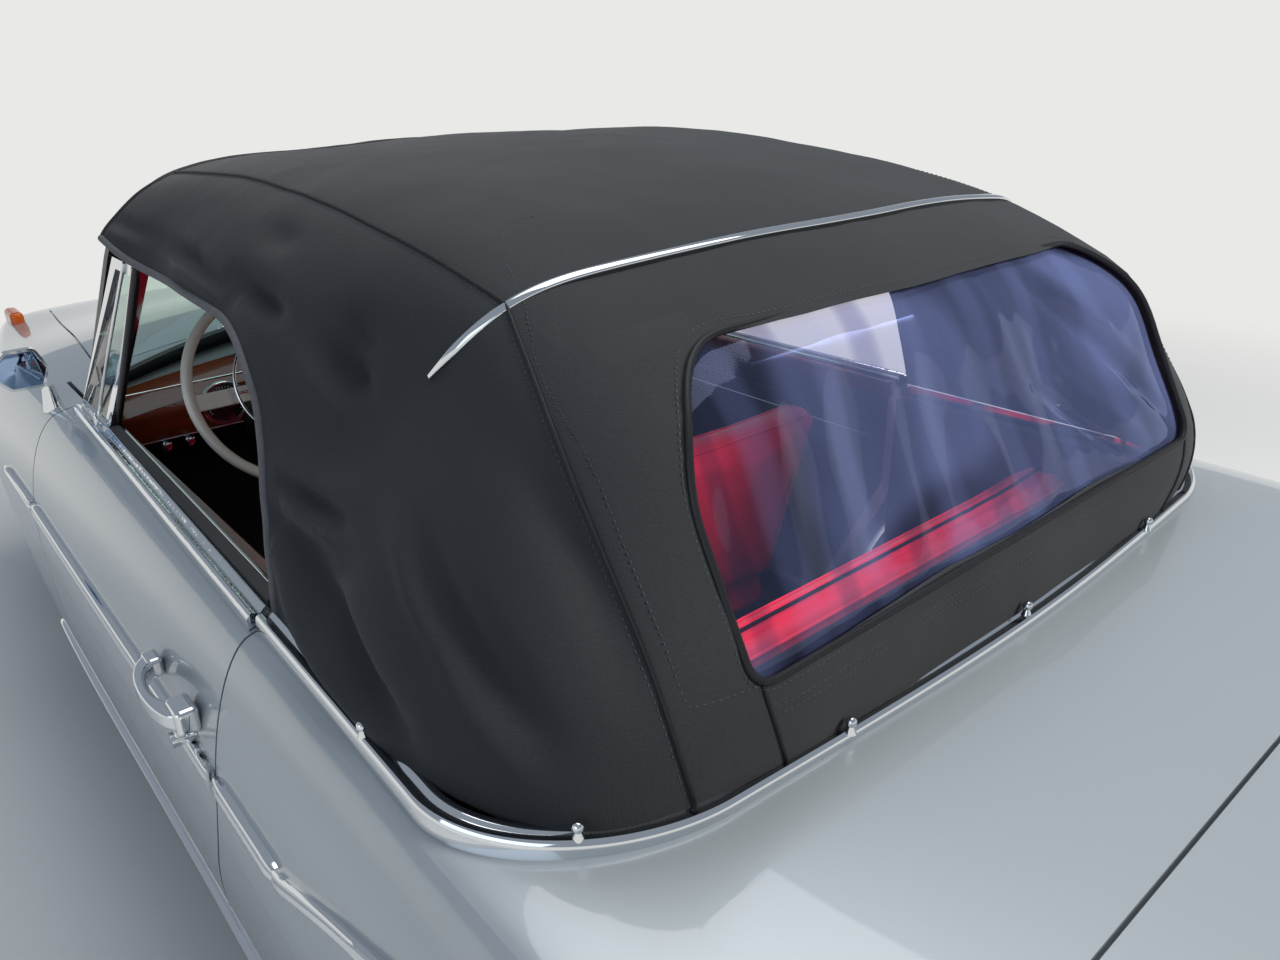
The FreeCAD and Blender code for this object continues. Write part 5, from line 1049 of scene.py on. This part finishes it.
def set_on_wheel(piece, corner, lift=0):
    """A copy of the piece, made about the upright axis, laid on a wheel at a distance out from its middle."""
    low, high = [np.array(corner_point) for corner_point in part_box("tyre_" + corner)]
    outer = 1 if "left" in corner else -1
    select_only(piece)
    bpy.ops.object.duplicate(linked=False)
    laid = bpy.context.view_layer.objects.active
    laid.rotation_euler = (math.radians(-90 * outer), 0, 0)
    laid.location = (low + high) / 2 + np.array((0, outer * lift * MM, 0))
    settle(f"{piece.name}_{corner}")
    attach(laid, "wheel_" + corner)
    return laid


other_wall = [(radius, -across) for radius, across in WALL[::-1]]
tyre = spun("ribbed_tyre", WALL + TREAD + other_wall, TYRE_STEPS, rubber)
for vertex in tyre.data.vertices:
    radius = math.hypot(vertex.co.x, vertex.co.y) / MM
    step = round(math.atan2(vertex.co.y, vertex.co.x) / (2 * math.pi / TYRE_STEPS))
    if radius > SHOULDER_RADIUS and abs(vertex.co.z) > SHOULDER_HALF * MM and step % 2:
        vertex.co = Vector((*(vertex.co.xy * (radius - NOTCH) / radius), vertex.co.z))

# Wheels: pressed steel discs sprayed with the body, slotted for the brakes' air, each with a
# plated trim ring pressed on its rim and a plated cap on its boss. Each slot is a black block laid on
# the disc: painted shade where the hole is.
RIM_SECTION = [(171, 64), (178, 74), (186, 79), (194, 79), (197, 76), (196, 72), (186, 74), (179, 70), (173, 62)]
CAP_STEPS = (110, (9, 1), (2, 1.02), (3, 0.97), (8, 0.9), (7, 0.78), (5, 0.62), (2, 0.93), (3, 1.03), (3, 0.8),
             (1, 0.3))
BRAKE_SLOTS = 12
trim_ring = spun("trim_ring", RIM_SECTION, 96, chrome)
hub_cap = turned("hub_cap", (0, 0, 0), CAP_STEPS, heading=0, sides=72)
slot_black = toned("shadow_black_paint", ("#060606", "#121211"), 80.0, Roughness=0.9)
# Slots: black blocks on the disc, painted shade for the holes
slots = []
for turn in 2 * math.pi * np.arange(BRAKE_SLOTS) / BRAKE_SLOTS:
    bpy.ops.mesh.primitive_cylinder_add(vertices=20, radius=1, depth=1, end_fill_type="TRIFAN",
                                        location=(0.141 * math.cos(turn), 0.141 * math.sin(turn), 0.0585),
                                        rotation=(0, math.radians(-14), turn), scale=(7 * MM, 15 * MM, 12 * MM))
    slots.append(bpy.context.view_layer.objects.active)
for slot_piece in slots:
    slot_piece.select_set(True)
bpy.context.view_layer.objects.active = slots[0]
bpy.ops.object.join()
slots = settle("painted_brake_slot_shade")
apply_modifier(slots, "BEVEL", width=1.5 * MM, segments=2, limit_method="ANGLE")
slots.data.materials.append(slot_black)
for corner in CORNERS:
    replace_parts(set_on_wheel(tyre, corner), "tyre_" + corner)
    set_on_wheel(trim_ring, corner)
    set_on_wheel(hub_cap, corner, 60)
    set_on_wheel(slots, corner)
for piece in (tyre, trim_ring, hub_cap, slots):
    bpy.data.objects.remove(piece)
give(enamel, *["wheel_" + corner for corner in CORNERS])

# Door cards: hardboard under padded black vinyl, drawn in round a plain oblong panel, with a
# plated strip along it.
for side, side_name in SIDES:
    card = block(f"door_card_{side_name}", (0.112, side * 0.7085, 0.605), (0.96, 0.0094, 0.57))
    edit_all(card)
    bpy.ops.mesh.bisect(plane_co=(-0.33, 0, 0.6), plane_no=(-0.9, 0, -0.436), use_fill=True, clear_outer=True)
    bpy.ops.mesh.select_all(action="DESELECT")
    bpy.ops.mesh.select_mode(type="FACE")
    bpy.ops.object.mode_set(mode="OBJECT")
    for polygon in card.data.polygons:
        polygon.select = polygon.normal.y * side < -0.9
    bpy.ops.object.mode_set(mode="EDIT")
    for thickness, depth in ((0.05, 0), (0.006, -0.004), (0.006, 0.004)):
        bpy.ops.mesh.inset(thickness=thickness, depth=depth)
    bpy.ops.object.mode_set(mode="OBJECT")
    apply_modifier(card, "BEVEL", width=2.5 * MM, segments=2, limit_method="ANGLE")
    finish(card, 40, black_vinyl, f"door_{side_name}")
    strip_run = [(x * MM, side * 0.7035, 0.79) for x in range(-350, 571, 40)]
    swept(f"card_strip_{side_name}", strip_run, 3.5, body=f"door_{side_name}")

# Lamps: red and orange moulded lenses.
for lens_name, colours, node_name in (("red_lens", ("#7A0A0A", "#A01515"), "tail_lamps"),
                                      ("orange_lens", ("#C8540A", "#E06A14"), "turn_lamps")):
    give(toned(lens_name, colours, 40.0, "TexWave", {"bands_direction": "Z"}, bump=(0.3, 1), Roughness=0.12,
               Transmission_Weight=0.3), node_name)

# Headlamps: a domed glass with upright flutes pressed into its inner side, over a silvered
# bowl, held in the plated bezel by its own rim. Turned, then given to each side.
fluted = toned("fluted_lamp_glass", ("#8F979B", "#D3DADD"), 36.0, "TexWave", {"bands_direction": "Y"}, bump=(0.6, 1.2),
               Metallic=0.55, Roughness=0.18, Coat_Weight=1.0, Coat_Roughness=0.02)
LENS_STEPS = (84, (3, 1), (6, 0.97), (6, 0.9), (4, 0.8), (3, 0.66), (2, 0.5), (1, 0.3))
bowl_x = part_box("headlamps")[1][0] / MM - 12
for side, side_name in SIDES:
    turned(f"headlamp_glass_{side_name}", (bowl_x, side * 600, 690), LENS_STEPS, fluted,
           heading=90, sides=64)

# Grille: behind the plated bars a black painted gauze keeps leaves out of the radiator. It is
# modelled as woven wires, the upright ones in front of the level ones.
gauze_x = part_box("grille")[0][0] / MM + 3
GAUZE_HALF, GAUZE_LOW, GAUZE_HIGH = 378, 600, 768
wires = [((gauze_x + 1.5, along, GAUZE_LOW), (gauze_x + 1.5, along, GAUZE_HIGH))
         for along in range(-GAUZE_HALF, GAUZE_HALF + 1, 14)]
wires += [((gauze_x - 1.5, -GAUZE_HALF - 2, up), (gauze_x - 1.5, GAUZE_HALF + 2, up))
          for up in range(GAUZE_LOW, GAUZE_HIGH + 1, 12)]
gauze = bpy.data.curves.new("grille_gauze", "CURVE")
gauze.dimensions = "3D"
gauze.bevel_depth = 1.1 * MM
gauze.bevel_resolution = 1
for ends in wires:
    strand = gauze.splines.new("POLY")
    strand.points.add(1)
    for point, end in zip(strand.points, ends):
        point.co = (*[value * MM for value in end], 1)
gauze_wires = bpy.data.objects.new("grille_gauze", gauze)
bpy.context.scene.collection.objects.link(gauze_wires)
select_only(gauze_wires)
bpy.ops.object.convert(target="MESH")
finish(bpy.context.view_layer.objects.active, 50, slot_black)

# Wing mirrors: silvered glass in a plated shell, tinted blue as a painted reflection of the sky.
MIRROR_EDGE = [(-47, -3), (-32, -38), (27, -38), (47, -16), (44, 22), (21, 40), (-30, 40)]
MIRROR_X, MIRROR_Y, MIRROR_Z = 861.4, 812, 1012
silvered, place = new_material("silvered_mirror_glass")
dust = add_node(silvered, "TexNoise", {}, {"Vector": place, "Scale": 30.0})
# The blue tint #8FA6C4 is a painted sky reflection
add_node(silvered, "OutputMaterial", {}, {"Surface": plated(silvered, dust, "#8FA6C4", 0.02, 0.08).outputs[0]})
for side, side_name in SIDES:
    edge = [(MIRROR_X * MM, side * (MIRROR_Y + across) * MM, (MIRROR_Z + up) * MM) for across, up in MIRROR_EDGE]
    glass_plate = new_piece(f"mirror_glass_{side_name}", edge, [range(len(edge))])
    edit_all(glass_plate)
    bpy.ops.mesh.extrude_region_move(TRANSFORM_OT_translate={"value": (-2 * MM, 0, 0)})
    bpy.ops.mesh.select_all(action="SELECT")
    close_edit()
    apply_modifier(glass_plate, "BEVEL", width=1 * MM, segments=2, limit_method="ANGLE")
    finish(glass_plate, 30, silvered)

# Wipers: two spring arms on spindles in the scuttle, with channel blades and rubber edges,
# parked along the foot of the windscreen. Rays find the glass and the scuttle under them.
BLADE_HEIGHT, SPINDLE_X = 1.062, 0.985
screen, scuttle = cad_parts["windscreen_glass"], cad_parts["cowl"]
for number, root_y in enumerate((330, -250)):
    hits = [screen.ray_cast(Vector((1.2, (root_y + along) * MM, BLADE_HEIGHT)), Vector((-1, 0, 0)))
            for along in range(-400, -39, 30)]
    blade_line = [spot + Vector((7 * MM, 0, 4 * MM)) for met, spot, _, _ in hits if met]
    _, foot, _, _ = scuttle.ray_cast(Vector((SPINDLE_X, root_y * MM, 1.3)), Vector((0, 0, -1)))
    middle = blade_line[len(blade_line) // 2]
    arm_line = [foot + Vector((0, 0, 14 * MM)), foot.lerp(middle, 0.5) + Vector((0, 0, 20 * MM)),
                middle + Vector((6 * MM, 0, 6 * MM))]
    swept(f"wiper_arm_{number}", arm_line, 3)
    swept(f"wiper_blade_{number}", blade_line, 3.5, slot_black, "black_plastic")
    turned(f"wiper_spindle_{number}", foot / MM - Vector((0, 0, 2)), (14, (10, 1), (4, 0.85), (2, 0.6)),
           heading=0, sides=28)

# Studio: a pale floor that curves up into a pale wall all round, under one large soft lamp and
# an even grey room. Far from the car the camera and the mirrors see plain pale paper; near it
# the floor is matt and keeps the shadow.
FLOOR_RADIUS, SWEEP_RADIUS, WALL_HEIGHT, SWEEP_STEPS = 14.0, 3.0, 4.2, 12
bpy.ops.object.select_all(action="DESELECT")
bpy.ops.mesh.primitive_circle_add(vertices=96, radius=FLOOR_RADIUS, fill_type="NGON", location=(0, 0, 0))
floor = bpy.context.view_layer.objects.active
floor.name = "floor"
edit_all(floor)
bpy.ops.mesh.select_mode(type="EDGE")
bpy.ops.mesh.region_to_loop()
turns = np.radians(90 * np.arange(SWEEP_STEPS + 1) / SWEEP_STEPS)
for before, after in zip(turns, turns[1:]):
    wider = (FLOOR_RADIUS + SWEEP_RADIUS * math.sin(after)) / (FLOOR_RADIUS + SWEEP_RADIUS * math.sin(before))
    rise = SWEEP_RADIUS * (math.cos(before) - math.cos(after))
    bpy.ops.mesh.extrude_region_move(TRANSFORM_OT_translate={"value": (0, 0, rise)})
    bpy.ops.transform.resize(value=(wider, wider, 1), center_override=(0, 0, 0))
bpy.ops.mesh.extrude_region_move(TRANSFORM_OT_translate={"value": (0, 0, WALL_HEIGHT - SWEEP_RADIUS)})
bpy.ops.object.mode_set(mode="OBJECT")
smooth(floor, 60)
pale, place = new_material("pale_floor")
away = add_node(pale, "VectorMath", {"operation": "LENGTH"}, {0: place}).outputs["Value"]
path = add_node(pale, "LightPath", {}, {}).outputs
far = add_node(pale, "MapRange", {"interpolation_type": "SMOOTHSTEP"}, {0: away, 1: 2.6, 2: 6.0})
seen_or_mirrored = add_node(pale, "Math", {"operation": "MAXIMUM"}, {0: path["Is Camera Ray"], 1: path["Is Glossy Ray"]})
shown = add_node(pale, "Math", {"operation": "MAXIMUM"}, {
    0: seen_or_mirrored.outputs[0], 1: path["Is Transmission Ray"]})
paper_share = add_node(pale, "Math", {"operation": "MULTIPLY"}, {0: far.outputs[0], 1: shown.outputs[0]})
matt = add_node(pale, "BsdfDiffuse", {}, {"Color": from_hex("#DCDCDA")})
paper = add_node(pale, "Emission", {}, {"Color": from_hex("#E9E9E7"), "Strength": 1.0})
shader = add_node(pale, "MixShader", {}, {0: paper_share.outputs[0], 1: matt.outputs[0], 2: paper.outputs[0]})
add_node(pale, "OutputMaterial", {}, {"Surface": shader.outputs[0]})
floor.data.materials.append(pale)

world = bpy.data.worlds.new("studio")
bpy.context.scene.world = world
world.use_nodes = True
world.node_tree.nodes.clear()
sky = add_node(world, "Background", {}, {"Color": from_hex("#D6E2F2"), "Strength": 0.42})
backdrop = add_node(world, "Background", {}, {"Color": from_hex("#E9E9E7"), "Strength": 1.0})
seen = add_node(world, "LightPath", {}, {}).outputs["Is Camera Ray"]
room = add_node(world, "MixShader", {}, {0: seen, 1: sky.outputs[0], 2: backdrop.outputs[0]})
add_node(world, "OutputWorld", {}, {"Surface": room.outputs[0]})


def hold(name, data):
    holder = bpy.data.objects.new(name, data)
    bpy.context.scene.collection.objects.link(holder)
    return holder


# Lamps: power in watts, size, place, target, tint, and whether the paint and chrome mirror them
for name, power, size, location, target, tint, mirrored in (
        ("key", 330, (1.6, 1.6), (-4.9, -1.9, 3.9), (-0.9, 0, 1.0), "#FFFAF2", False),
        ("overhead", 150, (6.0, 4.0), (0.2, -1.2, 6.5), (0, 0, 0.8), "#FFFFFF", True),
        ("left_card", 45, (5.0, 2.0), (-1.5, 5.0, 3.0), (-0.5, 0.7, 0.8), "#DDE9FF", True),
        ("cabin", 3, (0.3, 0.6), (-0.62, 0.2, 1.33), (-0.6, 0.2, 0.8), "#FFFAF2", False)):
    light = bpy.data.lights.new(name, "AREA")
    light.energy = power
    light.color = from_hex(tint)[:3]
    light.shape = "RECTANGLE"
    light.size, light.size_y = size
    holder = hold(name, light)
    holder.location = location
    holder.visible_camera, holder.visible_glossy = False, mirrored
    holder.rotation_euler = (Vector(target) - Vector(location)).to_track_quat("-Z", "Y").to_euler()

# Camera: at the photograph's place, behind the left rear wheel and above the belt
VIEW_PLACE = Vector((-1.60619, 1.09191, 1.62516))
VIEW_TURN, VIEW_FALL, VIEW_ROLL = math.radians(-40.1), math.radians(23.8), math.radians(-1.23)
FOCAL_PIXELS, PHOTO_WIDTH, SENSOR = 957, 1280, 36.0
ahead = Vector((math.cos(VIEW_FALL) * math.cos(VIEW_TURN), math.cos(VIEW_FALL) * math.sin(VIEW_TURN),
                -math.sin(VIEW_FALL)))
level = Vector((math.sin(VIEW_TURN), -math.cos(VIEW_TURN), 0))
above = level.cross(ahead)
camera_right = math.cos(VIEW_ROLL) * level + math.sin(VIEW_ROLL) * above
camera_up = -math.sin(VIEW_ROLL) * level + math.cos(VIEW_ROLL) * above
lens_data = bpy.data.cameras.new("camera")
lens_data.sensor_width = SENSOR
lens_data.lens = FOCAL_PIXELS / PHOTO_WIDTH * SENSOR
lens_data.clip_start = 0.05
camera = hold("camera", lens_data)
camera.matrix_world = Matrix.Translation(VIEW_PLACE) @ Matrix((camera_right, camera_up, -ahead)).transposed().to_4x4()
bpy.context.scene.camera = camera
bpy.context.scene.view_settings.view_transform = "Standard"
